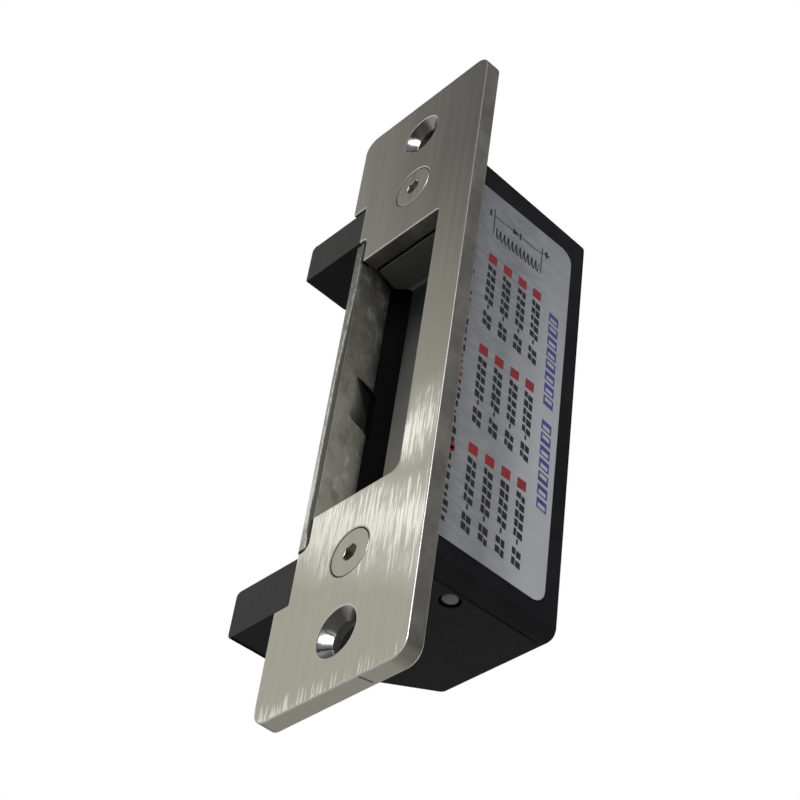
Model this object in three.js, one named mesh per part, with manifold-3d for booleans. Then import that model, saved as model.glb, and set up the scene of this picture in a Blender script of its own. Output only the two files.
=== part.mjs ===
// Electric door strike with a 124 x 31 mm faceplate, as an assembly of separate pieces.
// Millimetres. +X: towards the label side, +Y: into the jamb, +Z: up along the faceplate.
// The origin is the centre of the faceplate's front face.
import * as THREE from "three";
import { mergeVertices } from "three/addons/utils/BufferGeometryUtils.js";
import Module from "manifold-3d";

const wasm = await Module();
wasm.setup();

// ---------- driving dimensions ----------

const GAP = 0.3; // between pieces that bear on each other
const SKIN_GAP = 0.05; // under the label
const ROUND = 24; // facets of a round piece
const COIL_STEPS = 12; // steps in each turn of a spring
const WIRE_SIDES = 5;

const PLATE = { length: 124, width: 31, thick: 3, cornerR: 2.8 };
const APERTURE = { left: -10.2, right: 8.2, half: 27.6, topR: 0.7, bottomR: 1.7 };
const KEEPER_STEP = { z: 33.5, filletR: 1.4 }; // where the aperture widens for the keeper
const EAR_NOTCH = { x: -12.3, z: 42.6 }; // cut-outs of the faceplate beside the ears
const MOUNT_HOLE = { x: 0.15, z: 52.4, headR: 4.1, holeR: 2.45, depth: 1.7 };
const CASE_SCREW = { x: 0.1, z: 38.8, headR: 3.95, shankR: 2.0, coneDepth: 2.1, end: 13 };
const HEX_AF = 2.5;

const CASE = { right: 11, rear: 31, wall: 2, halfFront: 42.35, halfRear: 41.35 };
const EAR = { tipX: -26.8, front: 0.3, tipRear: 9.5, inner: 33.8, cornerR: 0.9 };
const SLANT_REAR_X = -11.5; // where the slanted side meets the rear face
const POCKET = { left: -8.4, floor: 10, webRear: 11.4, half: 27.3 };
const TROUGH_REAR = 17.2; // front face of the partition behind the keeper's hub
const BAY = { half: 33.6, left: -6.9, right: 9, front: 18.7, rear: 29.2 };

const HINGE = { x: -12.2, y: 13.6, pinR: 1.5, hubR: 3 };
const KEEPER = { left: -12.8, right: -10.55, front: 0.25, low: -32.6, high: 32.8 };
const HEEL = { r: 6.9, halfWidth: 1.3, z: -8, half: 4 };
const KEEPER_SPRING = { low: -27, high: -17, meanR: 2.25, wireR: 0.35, turns: 8.25 };

const LOCK_PIN = { x: 6.3, y: 14.2, r: 1.35, top: 37 };
const LEVER = { z: -8, half: 4.5, hubR: 2.4, ribHalf: 1 };
const LEVER_SPRING = { low: -22, high: -15, meanR: 2, wireR: 0.3, turns: 6.25 };

const COIL = { x: 0.3, y: 22.6, low: 8, high: 33, r: 5.8, spoolR: 3.5, flangeR: 6 };
const FRAME = { left: -6.3, right: 8.7, halfDepth: 6.1, thick: 1.4 };
const PLUNGER = { r: 2.2, low: -0.7, high: 17.7, studR: 1.2, studLow: -4.6 };
const CORE = { r: 2.3, low: 22, shoulder: 31.2, rivetR: 1.5, high: 33.4 };
const CAM = {
  half: 2.2,
  thin: 20.2,
  thick: 19,
  rear: 24.4,
  high: -1,
  rampHigh: -9.5,
  rampLow: -13.5,
  low: -17.3,
};
const CAM_PIN = { r: 0.5, z: -2.8 };
const COLLAR = { outerR: 3.4, low: -0.7, high: 0 };
const PLUNGER_SPRING = { meanR: 2.87, wireR: 0.28, turns: 6 };
const COIL_SCREW = { r: 1.2, headR: 2, zs: [13.5, 27.5], end: 7 };

const COVER = { left: -10, right: 9.3, half: 39.6, thick: 1.5, ribFront: 24.7 };
const COVER_SCREW = { x: 6.3, z: 36.7, headR: 2.2, shankR: 1.2, end: 24 };
const GROMMET = { x: -5.6, z: -25, holeR: 3.2, flangeR: 4, boreR: 1.6, rear: 32 };
const BOARD = { left: -6.2, right: 7.4, low: -32.6, high: -18.2, front: 20, thick: 1.2 };
const BOARD_SCREW = { x: -3.8, z: -29.5, r: 1, headR: 1.8, end: 14, bossR: 2.2 };
const DIODE = { x: -1.6, y: 23.2, z: -20.6, half: 2.6, r: 1.3, leadR: 0.35, reach: 4 };
const TERMINAL = {
  left: -0.6,
  right: 6.8,
  rear: 28.2,
  low: -31.8,
  high: -24.6,
  entryY: 24,
  zs: [-26.4, -30],
};
const LEAD = { r: 0.45, top: 7.6, y: 26.8, boardZ: -24.5 };
const LABEL = { front: 3.9, rear: 27.85, low: -37, high: 36.8, cornerR: 2.6, thick: 0.15 };

const rearSlope = (CASE.halfFront - CASE.halfRear) / (CASE.rear - EAR.front);
const endFaceAt = (y) => CASE.halfFront - (y - EAR.front) * rearSlope;

// ---------- geometry helpers ----------

function shapeOf(points) {
  return new THREE.Shape(points.map(([a, b]) => new THREE.Vector2(a, b)));
}

// A profile in X and Y, extruded from z = low to z = high.
function prismZ(shape, low, high, curveSegments = 8) {
  const g = new THREE.ExtrudeGeometry(shape, { depth: high - low, bevelEnabled: false, curveSegments });
  return g.translate(0, 0, low);
}

// A profile in X and Z, extruded from y = front to y = rear.
function prismY(shape, front, rear, curveSegments = 8) {
  return prismZ(shape, -rear, -front, curveSegments).rotateX(Math.PI / 2);
}

// A profile in Y and Z, extruded from x = left to x = right.
function prismX(shape, left, right, curveSegments = 8) {
  return prismZ(shape, left, right, curveSegments).rotateX(Math.PI / 2).rotateZ(Math.PI / 2);
}

function box(x0, x1, y0, y1, z0, z1) {
  const g = new THREE.BoxGeometry(x1 - x0, y1 - y0, z1 - z0);
  return g.translate((x0 + x1) / 2, (y0 + y1) / 2, (z0 + z1) / 2);
}

function rodZ(x, y, r, low, high, facets = ROUND) {
  const g = new THREE.CylinderGeometry(r, r, high - low, facets).rotateX(Math.PI / 2);
  return g.translate(x, y, (low + high) / 2);
}

function rodY(x, z, frontR, rearR, front, rear, facets = ROUND) {
  const g = new THREE.CylinderGeometry(rearR, frontR, rear - front, facets);
  return g.translate(x, (front + rear) / 2, z);
}

function rodX(y, z, r, left, right, facets = ROUND) {
  const g = new THREE.CylinderGeometry(r, r, right - left, facets).rotateZ(Math.PI / 2);
  return g.translate((left + right) / 2, y, z);
}

// A turned piece about the Z axis through (x, y); the profile lists [radius, z] from low to high.
function turnedZ(x, y, profile, facets = ROUND) {
  const g = new THREE.LatheGeometry(profile.map(([r, z]) => new THREE.Vector2(r, z)), facets);
  return g.rotateX(Math.PI / 2).scale(1, -1, 1).translate(x, y, 0);
}

// A ring about the Z axis through (x, y).
function ringZ(x, y, innerR, outerR, low, high, facets = ROUND) {
  return cut(rodZ(x, y, outerR, low, high, facets), rodZ(x, y, innerR, low - 1, high + 1, facets));
}

function solid(geometry) {
  if (geometry instanceof wasm.Manifold) return geometry;
  const g = geometry.index ? geometry.clone() : geometry;
  g.deleteAttribute("normal");
  g.deleteAttribute("uv");
  const merged = mergeVertices(g, 1e-4);
  const made = new wasm.Manifold(
    new wasm.Mesh({
      numProp: 3,
      vertProperties: new Float32Array(merged.attributes.position.array),
      triVerts: new Uint32Array(merged.index.array),
    }),
  );
  return made.volume() < 0 ? turnedInsideOut(merged) : made;
}

function turnedInsideOut(merged) {
  const tris = new Uint32Array(merged.index.array);
  for (let i = 0; i < tris.length; i += 3) {
    [tris[i + 1], tris[i + 2]] = [tris[i + 2], tris[i + 1]];
  }
  const vertProperties = new Float32Array(merged.attributes.position.array);
  return new wasm.Manifold(new wasm.Mesh({ numProp: 3, vertProperties, triVerts: tris }));
}

function join(first, ...others) {
  return others.reduce((all, g) => all.add(solid(g)), solid(first));
}

function cut(first, ...tools) {
  return tools.reduce((left, g) => left.subtract(solid(g)), solid(first));
}

function geometryOf(manifold) {
  const m = manifold.getMesh();
  const g = new THREE.BufferGeometry();
  g.setAttribute("position", new THREE.BufferAttribute(new Float32Array(m.vertProperties), 3));
  g.setIndex(new THREE.BufferAttribute(new Uint32Array(m.triVerts), 1));
  g.computeVertexNormals();
  return g;
}

const group = new THREE.Group();

function material(color, roughness, metalness) {
  return () => new THREE.MeshStandardMaterial({ color, roughness, metalness });
}

const brushedSteel = material(0xa9a69f, 0.35, 1);
const castBlack = material(0x232427, 0.6, 0.3);
const castSteel = material(0x6e6a62, 0.5, 0.9);
const screwSteel = material(0xc9c8c2, 0.25, 1);
const zincSteel = material(0xb4b7ba, 0.35, 1);
const springSteel = material(0x8d8f92, 0.3, 1);
const copper = material(0xa8572c, 0.4, 0.9);
const nylon = material(0xe4e0d4, 0.6, 0);
const rubber = material(0x17181a, 0.85, 0);
const paper = material(0xb4b7bb, 0.5, 0);
const boardGreen = material(0x2e6b45, 0.55, 0);
const blackPlastic = material(0x1c1d20, 0.45, 0);
const redWire = material(0xa02422, 0.5, 0);
const blackWire = material(0x202022, 0.5, 0);

function add(name, geometry, makeMaterial) {
  const mesh = new THREE.Mesh(geometryOf(solid(geometry)), makeMaterial());
  mesh.name = name;
  group.add(mesh);
}

// Takes off the square edge that runs along Y through (x, z) and leaves it rounded to radius r.
// signX and signZ point out of the material, and tilt follows a drafted face.
function roundEdgeY(x, z, signX, signZ, r, tilt = 0) {
  const place = (g) => g.rotateX(tilt).translate(x, 0, z);
  const far = 1;
  const [x0, x1] = signX > 0 ? [-r, far] : [-far, r];
  const [z0, z1] = signZ > 0 ? [-r, far] : [-far, r];
  return cut(place(box(x0, x1, -5, 45, z0, z1)), place(rodY(-signX * r, -signZ * r, r, r, -6, 46)));
}

function arcPoints(cx, cy, r, fromDeg, toDeg, steps) {
  return Array.from({ length: steps + 1 }, (_, i) => {
    const a = THREE.MathUtils.degToRad(fromDeg + ((toDeg - fromDeg) * i) / steps);
    return [cx + r * Math.cos(a), cy + r * Math.sin(a)];
  });
}

// ---------- faceplate ----------

function faceplateShape() {
  const { length, width, cornerR } = PLATE;
  const [w, h] = [width / 2, length / 2];
  const [cx, cz] = [w - cornerR, h - cornerR];
  const a = APERTURE;
  const step = KEEPER_STEP;
  const notch = EAR_NOTCH;
  return shapeOf([
    ...arcPoints(cx, -cz, cornerR, -90, 0, 6),
    ...arcPoints(cx, cz, cornerR, 0, 90, 6),
    ...arcPoints(-cx, cz, cornerR, 90, 180, 6),
    [-w, notch.z],
    [notch.x, notch.z],
    [notch.x, step.z],
    ...arcPoints(a.left - step.filletR, step.z - step.filletR, step.filletR, 90, 0, 4),
    [a.left, a.half],
    ...arcPoints(a.right - a.topR, a.half - a.topR, a.topR, 90, 0, 3),
    ...arcPoints(a.right - a.bottomR, a.bottomR - a.half, a.bottomR, 0, -90, 5),
    [a.left, -a.half],
    ...arcPoints(a.left - step.filletR, step.filletR - step.z, step.filletR, 0, -90, 4),
    [notch.x, -step.z],
    [notch.x, -notch.z],
    [-w, -notch.z],
    ...arcPoints(-cx, -cz, cornerR, 180, 270, 6),
  ]);
}

function faceplate() {
  const tools = [];
  for (const side of [-1, 1]) {
    const mount = MOUNT_HOLE;
    const screw = CASE_SCREW;
    const screwHoleR = screw.shankR + GAP;
    tools.push(
      rodY(mount.x, side * mount.z, mount.headR, mount.holeR, -0.001, mount.depth),
      rodY(mount.x, side * mount.z, mount.holeR, mount.holeR, -1, PLATE.thick + 1),
      rodY(screw.x, side * screw.z, screw.headR + 0.2, screwHoleR, -0.001, screw.coneDepth + 0.2),
      rodY(screw.x, side * screw.z, screwHoleR, screwHoleR, -1, PLATE.thick + 1),
    );
  }
  return cut(prismY(faceplateShape(), 0, PLATE.thick), ...tools);
}

function caseScrew(side) {
  const { x, z, headR, shankR, coneDepth, end } = CASE_SCREW;
  const face = 0.05;
  const profile = [[0, face], [headR - 0.15, face], [headR, face + 0.15]];
  profile.push([shankR, coneDepth], [shankR, end - 0.8], [shankR - 0.6, end], [0, end]);
  return cut(turnedY(x, side * z, profile), hexSocket(x, side * z, face, 1.7));
}

// A turned piece about the Y axis through (x, z); the profile lists [radius, y] from front to rear.
function turnedY(x, z, profile, facets = ROUND) {
  const g = new THREE.LatheGeometry(profile.map(([r, y]) => new THREE.Vector2(r, y)), facets);
  return g.translate(x, 0, z);
}

function hexSocket(x, z, front, depth) {
  const cornerR = HEX_AF / Math.sqrt(3);
  return rodY(x, z, cornerR, cornerR, front - 1, front + depth, 6);
}

add("faceplate", faceplate(), brushedSteel);
add("case_screw_upper", caseScrew(1), screwSteel);
add("case_screw_lower", caseScrew(-1), screwSteel);

// ---------- casing ----------

const coverFront = CASE.rear - COVER.thick;
const coverRecess = COVER.half + GAP;
const slantRun = (SLANT_REAR_X - EAR.tipX) / (CASE.rear - EAR.tipRear);
const slantX = (y) => SLANT_REAR_X - (CASE.rear - y) * slantRun;
const innerSlantX = (y) => slantX(y) + (CASE.wall - 0.2) * Math.hypot(1, slantRun);
const caseFront = PLATE.thick + GAP;

function endBlock(side) {
  const earRight = EAR_NOTCH.x - GAP;
  const shape = shapeOf([
    [EAR.tipX, EAR.front],
    [earRight, EAR.front],
    [earRight, caseFront],
    [CASE.right, caseFront],
    [CASE.right, CASE.rear],
    [SLANT_REAR_X, CASE.rear],
    [EAR.tipX, EAR.tipRear],
  ]);
  const [low, high] = side > 0 ? [EAR.inner, CASE.halfFront + 1] : [-CASE.halfFront - 1, -EAR.inner];
  return prismZ(shape, low, high);
}

function middleBlock() {
  const shape = shapeOf([
    [-9.8, caseFront],
    [CASE.right, caseFront],
    [CASE.right, CASE.rear],
    [SLANT_REAR_X, CASE.rear],
    [slantX(TROUGH_REAR), TROUGH_REAR],
    [POCKET.left, TROUGH_REAR],
    [POCKET.left, POCKET.floor],
    [-10.8, 7.9],
  ]);
  return prismZ(shape, -EAR.inner - 0.2, EAR.inner + 0.2);
}

function bay() {
  const open = CASE.rear - 1;
  const shape = shapeOf([
    [BAY.left, POCKET.webRear],
    [BAY.right, POCKET.webRear],
    [BAY.right, open],
    [innerSlantX(open), open],
    [innerSlantX(BAY.front), BAY.front],
    [BAY.left, BAY.front],
  ]);
  return prismZ(shape, -BAY.half, BAY.half);
}

// The path that the keeper's heel sweeps through the partition.
function heelWindow() {
  const r = HEEL.r + 0.9;
  const arc = arcPoints(HINGE.x, HINGE.y, r, -14, 104, 11);
  const half = LEVER.half + 1.1;
  const outline = [[HINGE.x, HINGE.y - 2], ...arc, [HINGE.x - 1.9, HINGE.y + 1]];
  return prismZ(shapeOf(outline), HEEL.z - half, HEEL.z + half);
}

// The drafted outside of an end block, as what lies beyond it.
function beyondEndFace(side) {
  const [near, far, out] = [-2, 36, 60];
  const points = [[near, endFaceAt(near)], [far, endFaceAt(far)], [far, out], [near, out]];
  return prismX(shapeOf(points.map(([y, z]) => [y, side * z])), -40, 40);
}

function casing() {
  const body = join(endBlock(1), endBlock(-1), middleBlock());
  const tilt = Math.atan(rearSlope);
  const corner = endFaceAt(0);
  const tools = [
    beyondEndFace(1),
    beyondEndFace(-1),
    roundEdgeY(CASE.right, corner, 1, 1, 0.8, -tilt),
    roundEdgeY(CASE.right, -corner, 1, -1, 2.4, tilt),
    roundEdgeY(EAR.tipX, corner, -1, 1, EAR.cornerR, -tilt),
    roundEdgeY(EAR.tipX, -corner, -1, -1, EAR.cornerR, tilt),
    roundEdgeY(EAR.tipX, EAR.inner, -1, -1, EAR.cornerR),
    roundEdgeY(EAR.tipX, -EAR.inner, -1, 1, EAR.cornerR),
    box(-40, BAY.right, -5, POCKET.floor, -POCKET.half, POCKET.half),
    bay(),
    heelWindow(),
    box(COVER.left - GAP, COVER.right + GAP, coverFront - 0.1, CASE.rear + 1, -coverRecess, coverRecess),
    rodZ(HINGE.x, HINGE.y, HINGE.pinR + GAP, -50, 50),
    rodZ(LOCK_PIN.x, LOCK_PIN.y, LOCK_PIN.r + GAP, -50, LOCK_PIN.top + GAP),
    ...COIL_SCREW.zs.map((z) => rodX(COIL.y, z, COIL_SCREW.r + GAP, 5, 12)),
    ...COIL_SCREW.zs.map((z) => rodX(COIL.y, z, COIL_SCREW.headR + GAP, CASE.right - 1.1, 12)),
  ];
  for (const side of [-1, 1]) {
    const holeR = CASE_SCREW.shankR + GAP;
    tools.push(rodY(CASE_SCREW.x, side * CASE_SCREW.z, holeR, holeR, 0, CASE_SCREW.end + 1));
    for (const x of [-COVER_SCREW.x, COVER_SCREW.x]) {
      const r = COVER_SCREW.shankR + GAP;
      tools.push(rodY(x, side * COVER_SCREW.z, r, r, COVER_SCREW.end - 1, 40, 12));
    }
  }
  return cut(join(cut(body, ...tools), boardBoss()), boardScrewHole());
}

function boardBoss() {
  const { x, z, bossR } = BOARD_SCREW;
  return rodY(x, z, bossR, bossR, POCKET.webRear - 0.5, BOARD.front - GAP, 16);
}

function boardScrewHole() {
  const r = BOARD_SCREW.r + GAP;
  return rodY(BOARD_SCREW.x, BOARD_SCREW.z, r, r, BOARD_SCREW.end - 0.5, BOARD.front, 12);
}

function roundedRectangle(a0, a1, b0, b1, r) {
  return shapeOf([
    ...arcPoints(a1 - r, b0 + r, r, -90, 0, 5),
    ...arcPoints(a1 - r, b1 - r, r, 0, 90, 5),
    ...arcPoints(a0 + r, b1 - r, r, 90, 180, 5),
    ...arcPoints(a0 + r, b0 + r, r, 180, 270, 5),
  ]);
}

function label() {
  const { front, rear, low, high, cornerR, thick } = LABEL;
  const left = CASE.right + SKIN_GAP;
  return prismX(roundedRectangle(front, rear, low, high, cornerR), left, left + thick);
}

function rearCover() {
  const plate = box(COVER.left, COVER.right, coverFront, CASE.rear, -COVER.half, COVER.half);
  const ribRear = coverFront + 0.2;
  const rib = box(COIL.x - 1.8, COIL.x + 1.8, COVER.ribFront, ribRear, CAM.low, CAM.high - GAP);
  const tools = [rodY(GROMMET.x, GROMMET.z, GROMMET.holeR, GROMMET.holeR, 28, 33)];
  for (const [x, z] of coverScrewPlaces()) {
    const holeR = COVER_SCREW.shankR + GAP;
    tools.push(rodY(x, z, holeR, holeR, 28, 33, 16));
    tools.push(rodY(x, z, holeR, COVER_SCREW.headR + GAP, CASE.rear - 1.1, CASE.rear + 0.001, 16));
  }
  return cut(join(plate, rib), ...tools);
}

function coverScrewPlaces() {
  const { x, z } = COVER_SCREW;
  return [[-x, z], [x, z], [-x, -z], [x, -z]];
}

function coverScrew(x, z) {
  const { headR, shankR, end } = COVER_SCREW;
  const face = CASE.rear - 0.05;
  const profile = [[0, end], [shankR - 0.3, end], [shankR, end + 0.4]];
  profile.push([shankR, face - 1], [headR, face], [0, face]);
  return cut(turnedY(x, z, profile, 16), ...crossRecess(x, z, face));
}

function crossRecess(x, z, face) {
  const [long, short, depth] = [1.2, 0.25, 0.8];
  return [
    box(x - long, x + long, face - depth, face + 1, z - short, z + short),
    box(x - short, x + short, face - depth, face + 1, z - long, z + long),
  ];
}

function grommet() {
  const { x, z, holeR, flangeR, boreR, rear } = GROMMET;
  const neckR = holeR - GAP;
  const inside = coverFront - GAP;
  const outside = CASE.rear + GAP;
  const profile = [[boreR, inside - 0.6], [flangeR, inside - 0.6], [flangeR, inside], [neckR, inside]];
  profile.push([neckR, outside], [flangeR, outside], [flangeR - 0.4, rear], [boreR, rear]);
  profile.push(profile[0]);
  return turnedY(x, z, profile);
}

add("casing", casing(), castBlack);
add("label", label(), paper);
add("rear_cover", rearCover(), castBlack);
coverScrewPlaces().forEach(([x, z], i) => add(`cover_screw_${i + 1}`, coverScrew(x, z), zincSteel));
add("cable_grommet", grommet(), rubber);

// ---------- keeper ----------

// The centre line of a spring's coil about the Z axis; hand -1 winds it the other way.
function helixPoints(x, y, spring, low, high, startDeg, hand = 1) {
  const steps = Math.round(spring.turns * COIL_STEPS);
  return Array.from({ length: steps + 1 }, (_, i) => {
    const a = THREE.MathUtils.degToRad(startDeg) + (hand * i * Math.PI * 2) / COIL_STEPS;
    const z = low + ((high - low) * i) / steps;
    return new THREE.Vector3(x + spring.meanR * Math.cos(a), y + spring.meanR * Math.sin(a), z);
  });
}

function wire(points, r, steps, sides = WIRE_SIDES) {
  const section = shapeOf(arcPoints(0, 0, r, 0, 360 - 360 / sides, sides - 1));
  const extrudePath = new THREE.CatmullRomCurve3(points);
  return new THREE.ExtrudeGeometry(section, { steps, extrudePath, bevelEnabled: false });
}

function keeperProfile() {
  const { left, right, front } = KEEPER;
  return shapeOf([
    [left, front],
    [right, front],
    [-10.5, 3.1],
    [-11.25, 7.6],
    [-12.4, 8.3],
    ...arcPoints(HINGE.x, HINGE.y, HINGE.hubR, -57, -155, 6),
    [-13.4, 4],
  ]);
}

function heel() {
  const { r, halfWidth, z, half } = HEEL;
  const spread = THREE.MathUtils.radToDeg(Math.asin(halfWidth / r));
  const tip = arcPoints(HINGE.x, HINGE.y, r, 90 - spread, 90 + spread, 4);
  const root = HINGE.y + 2.3;
  const shape = shapeOf([[HINGE.x + halfWidth, root], ...tip, [HINGE.x - halfWidth, root]]);
  return prismZ(shape, z - half, z + half);
}

// A shallow scallop in the keeper's inner face, deeper towards the rear.
function scallop() {
  const bottom = arcPoints(4.4, -2.3, 3.4, 180, 360, 8);
  const outline = shapeOf([[1, 3.3], [1, -2.3], ...bottom, [9, -2.3], [9, 3.3]]);
  const ramp = shapeOf([[-10.1, 2.2], [-9, 2.2], [-9, 9], [-12.9, 9]]);
  return solid(prismX(outline, -14, -8)).intersect(solid(prismZ(ramp, -8, 5)));
}

function keeper() {
  const { low, high } = KEEPER;
  const clearR = HINGE.hubR + GAP;
  const hub = rodZ(HINGE.x, HINGE.y, HINGE.hubR, low, high);
  const body = join(prismZ(keeperProfile(), low, high), hub, heel());
  return cut(
    body,
    rodZ(HINGE.x, HINGE.y, HINGE.pinR + GAP, low - 1, high + 1),
    rodZ(HINGE.x, HINGE.y, clearR, KEEPER_SPRING.low - GAP * 2, KEEPER_SPRING.high + GAP * 2),
    scallop(),
  );
}

function pinZ(x, y, r, low, high) {
  const chamfer = 0.3;
  const profile = [[0, low], [r - chamfer, low], [r, low + chamfer]];
  profile.push([r, high - chamfer], [r - chamfer, high], [0, high]);
  return turnedZ(x, y, profile);
}

function keeperSpring() {
  const { low, high, wireR, turns } = KEEPER_SPRING;
  const { x, y } = HINGE;
  const coil = helixPoints(x, y, KEEPER_SPRING, low, high, 90);
  const casingLeg = new THREE.Vector3(x + 3.2, y + 2.9, low);
  const keeperLeg = [
    new THREE.Vector3(x - 3.3, y - 2.2, high),
    new THREE.Vector3(x - 3.4, y - 4.8, high),
  ];
  return wire([casingLeg, ...coil, ...keeperLeg], wireR, turns * COIL_STEPS + 5);
}

add("keeper", keeper(), castSteel);
add("keeper_pin", pinZ(HINGE.x, HINGE.y, HINGE.pinR, -41.7, 41.7), zincSteel);
add("keeper_spring", keeperSpring(), springSteel);

// ---------- lock lever ----------

function lockPin() {
  const { x, y, r, top } = LOCK_PIN;
  const low = -endFaceAt(y);
  const dome = arcPoints(0, low + r * 0.6, r, -90, -37, 3).map(([a, b]) => [Math.max(a, 0), b + r * 0.4]);
  return turnedZ(x, y, [...dome, [r, low + r * 0.4], [r, top - 0.3], [r - 0.3, top], [0, top]]);
}

function lockLever() {
  const { z, half, hubR, ribHalf } = LEVER;
  const { x, y, r } = LOCK_PIN;
  const arm = shapeOf([
    [5.2, 12.3],
    [8, 15.6],
    [3, 18],
    [-2.3, 18.8],
    [-3.2, 20.3],
    [-6.9, 24.2],
    [-9, 24.2],
    [-9, 21.3],
    [-5.2, 18.9],
    [-2.4, 16.6],
    [1, 14.6],
  ]);
  const rib = box(COIL.x - 1, COIL.x + 1, 17.5, CAM.thin - GAP, z - ribHalf, z + ribHalf);
  const body = join(prismZ(arm, z - half, z + half), rodZ(x, y, hubR, z - half, z + half), rib);
  return cut(body, rodZ(x, y, r + GAP, z - half - 1, z + half + 1));
}

function leverSpring() {
  const { low, high, wireR, turns } = LEVER_SPRING;
  const { x, y } = LOCK_PIN;
  const coil = helixPoints(x, y, LEVER_SPRING, low, high, 0, -1);
  const wallLeg = new THREE.Vector3(x + 2.1, y + 3.6, low);
  const leverLeg = [
    new THREE.Vector3(x - 3, y - 1.7, high + 1.2),
    new THREE.Vector3(x - 4.4, y - 1, high + 5),
  ];
  return wire([wallLeg, ...coil, ...leverLeg], wireR, turns * COIL_STEPS + 8);
}

add("lock_pin", lockPin(), zincSteel);
add("lock_lever", lockLever(), zincSteel);
add("lever_spring", leverSpring(), springSteel);

// ---------- solenoid ----------

function solenoidFrame() {
  const { left, right, halfDepth, thick } = FRAME;
  const { x, y, low, high } = COIL;
  const [front, rear] = [y - halfDepth, y + halfDepth];
  const screwR = COIL_SCREW.r + GAP;
  return cut(
    join(
      box(right - thick, right, front, rear, low, high),
      box(left, right, front, rear, low, low + thick),
      box(left, right, front, rear, high - thick, high),
    ),
    rodZ(x, y, PLUNGER.r + GAP, low - 1, low + 2),
    rodZ(x, y, CORE.rivetR + GAP, high - 2, high + 1),
    ...COIL_SCREW.zs.map((z) => rodX(y, z, screwR, right - 2, right + 1, 12)),
  );
}

function coilScrew(z) {
  const { r, headR, end } = COIL_SCREW;
  const face = CASE.right - 0.2;
  const body = join(rodX(COIL.y, z, r, end, face - 0.4, 12), rodX(COIL.y, z, headR, face - 0.8, face, 16));
  const slot = box(face - 0.4, face + 1, COIL.y - 0.3, COIL.y + 0.3, z - 3, z + 3);
  return cut(body, slot);
}

function bobbin() {
  const { x, y, low, high, spoolR, flangeR } = COIL;
  const boreR = CORE.r + GAP;
  const [z0, z1] = [low + FRAME.thick + GAP, high - FRAME.thick - GAP];
  const profile = [[boreR, z0], [flangeR, z0], [flangeR, z0 + 1], [spoolR, z0 + 1]];
  profile.push([spoolR, z1 - 1], [flangeR, z1 - 1], [flangeR, z1], [boreR, z1], [boreR, z0]);
  return turnedZ(x, y, profile);
}

function coilWinding() {
  const { x, y, low, high, r, spoolR } = COIL;
  const inset = FRAME.thick + 1 + 2 * GAP;
  return ringZ(x, y, spoolR + GAP, r, low + inset, high - inset);
}

function core() {
  const { r, low, shoulder, rivetR, high } = CORE;
  const profile = [[0, low], [r, low], [r, shoulder], [rivetR, shoulder], [rivetR, high], [0, high]];
  return turnedZ(COIL.x, COIL.y, profile);
}

function plunger() {
  const { r, low, high, studR, studLow } = PLUNGER;
  const profile = [[0, studLow], [studR, studLow], [studR, low], [r, low]];
  profile.push([r, high - 0.3], [r - 0.3, high], [0, high]);
  return cut(turnedZ(COIL.x, COIL.y, profile), rodX(COIL.y, CAM_PIN.z, CAM_PIN.r + 0.25, -5, 5, 12));
}

function lockCam() {
  const { half, thin, thick, rear, high, rampHigh, rampLow, low } = CAM;
  const front = [[thin, high], [thin, rampHigh], [thick, rampLow], [thick, low]];
  const profile = [[rear, low], [rear, high], ...front];
  return cut(
    prismX(shapeOf(profile), COIL.x - half, COIL.x + half),
    rodZ(COIL.x, COIL.y, PLUNGER.studR + GAP, PLUNGER.studLow - GAP, high + 1, 16),
    rodX(COIL.y, CAM_PIN.z, CAM_PIN.r + GAP, -5, 5, 12),
  );
}

function camPin() {
  const reach = CAM.half - 0.1;
  return rodX(COIL.y, CAM_PIN.z, CAM_PIN.r, COIL.x - reach, COIL.x + reach, 12);
}

function springCollar() {
  const { outerR, low, high } = COLLAR;
  return ringZ(COIL.x, COIL.y, PLUNGER.r + GAP, outerR, low, high);
}

function plungerSpring() {
  const { wireR, turns } = PLUNGER_SPRING;
  const low = COLLAR.high + GAP + wireR;
  const high = COIL.low - GAP - wireR;
  return wire(helixPoints(COIL.x, COIL.y, PLUNGER_SPRING, low, high, 0), wireR, turns * COIL_STEPS);
}

add("solenoid_frame", solenoidFrame(), zincSteel);
COIL_SCREW.zs.forEach((z, i) => add(`coil_screw_${i + 1}`, coilScrew(z), screwSteel));
add("bobbin", bobbin(), nylon);
add("coil_winding", coilWinding(), copper);
add("solenoid_core", core(), zincSteel);
add("plunger", plunger(), zincSteel);
add("lock_cam", lockCam(), zincSteel);
add("cam_pin", camPin(), springSteel);
add("spring_collar", springCollar(), nylon);
add("plunger_spring", plungerSpring(), springSteel);

// ---------- wiring ----------

function circuitBoard() {
  const { left, right, low, high, front, thick } = BOARD;
  const r = BOARD_SCREW.r + GAP;
  const hole = rodY(BOARD_SCREW.x, BOARD_SCREW.z, r, r, front - 1, front + thick + 1, 12);
  return cut(box(left, right, front, front + thick, low, high), hole);
}

function boardScrew() {
  const { x, z, r, headR, end } = BOARD_SCREW;
  const seat = BOARD.front + BOARD.thick + GAP;
  const face = seat + 1.1;
  const profile = [[0, end], [r, end], [r, seat], [headR, seat]];
  profile.push([headR, face - 0.3], [headR - 0.4, face], [0, face]);
  return cut(turnedY(x, z, profile, 16), ...crossRecess(x, z, face));
}

function diode() {
  const { x, y, z, half, r, leadR, reach } = DIODE;
  const foot = BOARD.front + BOARD.thick + GAP;
  const legs = [-1, 1].map((side) => rodY(x + side * reach, z, leadR, leadR, foot, y + leadR, 8));
  return join(rodX(y, z, r, x - half, x + half, 16), rodX(y, z, leadR, x - reach, x + reach, 8), ...legs);
}

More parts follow.
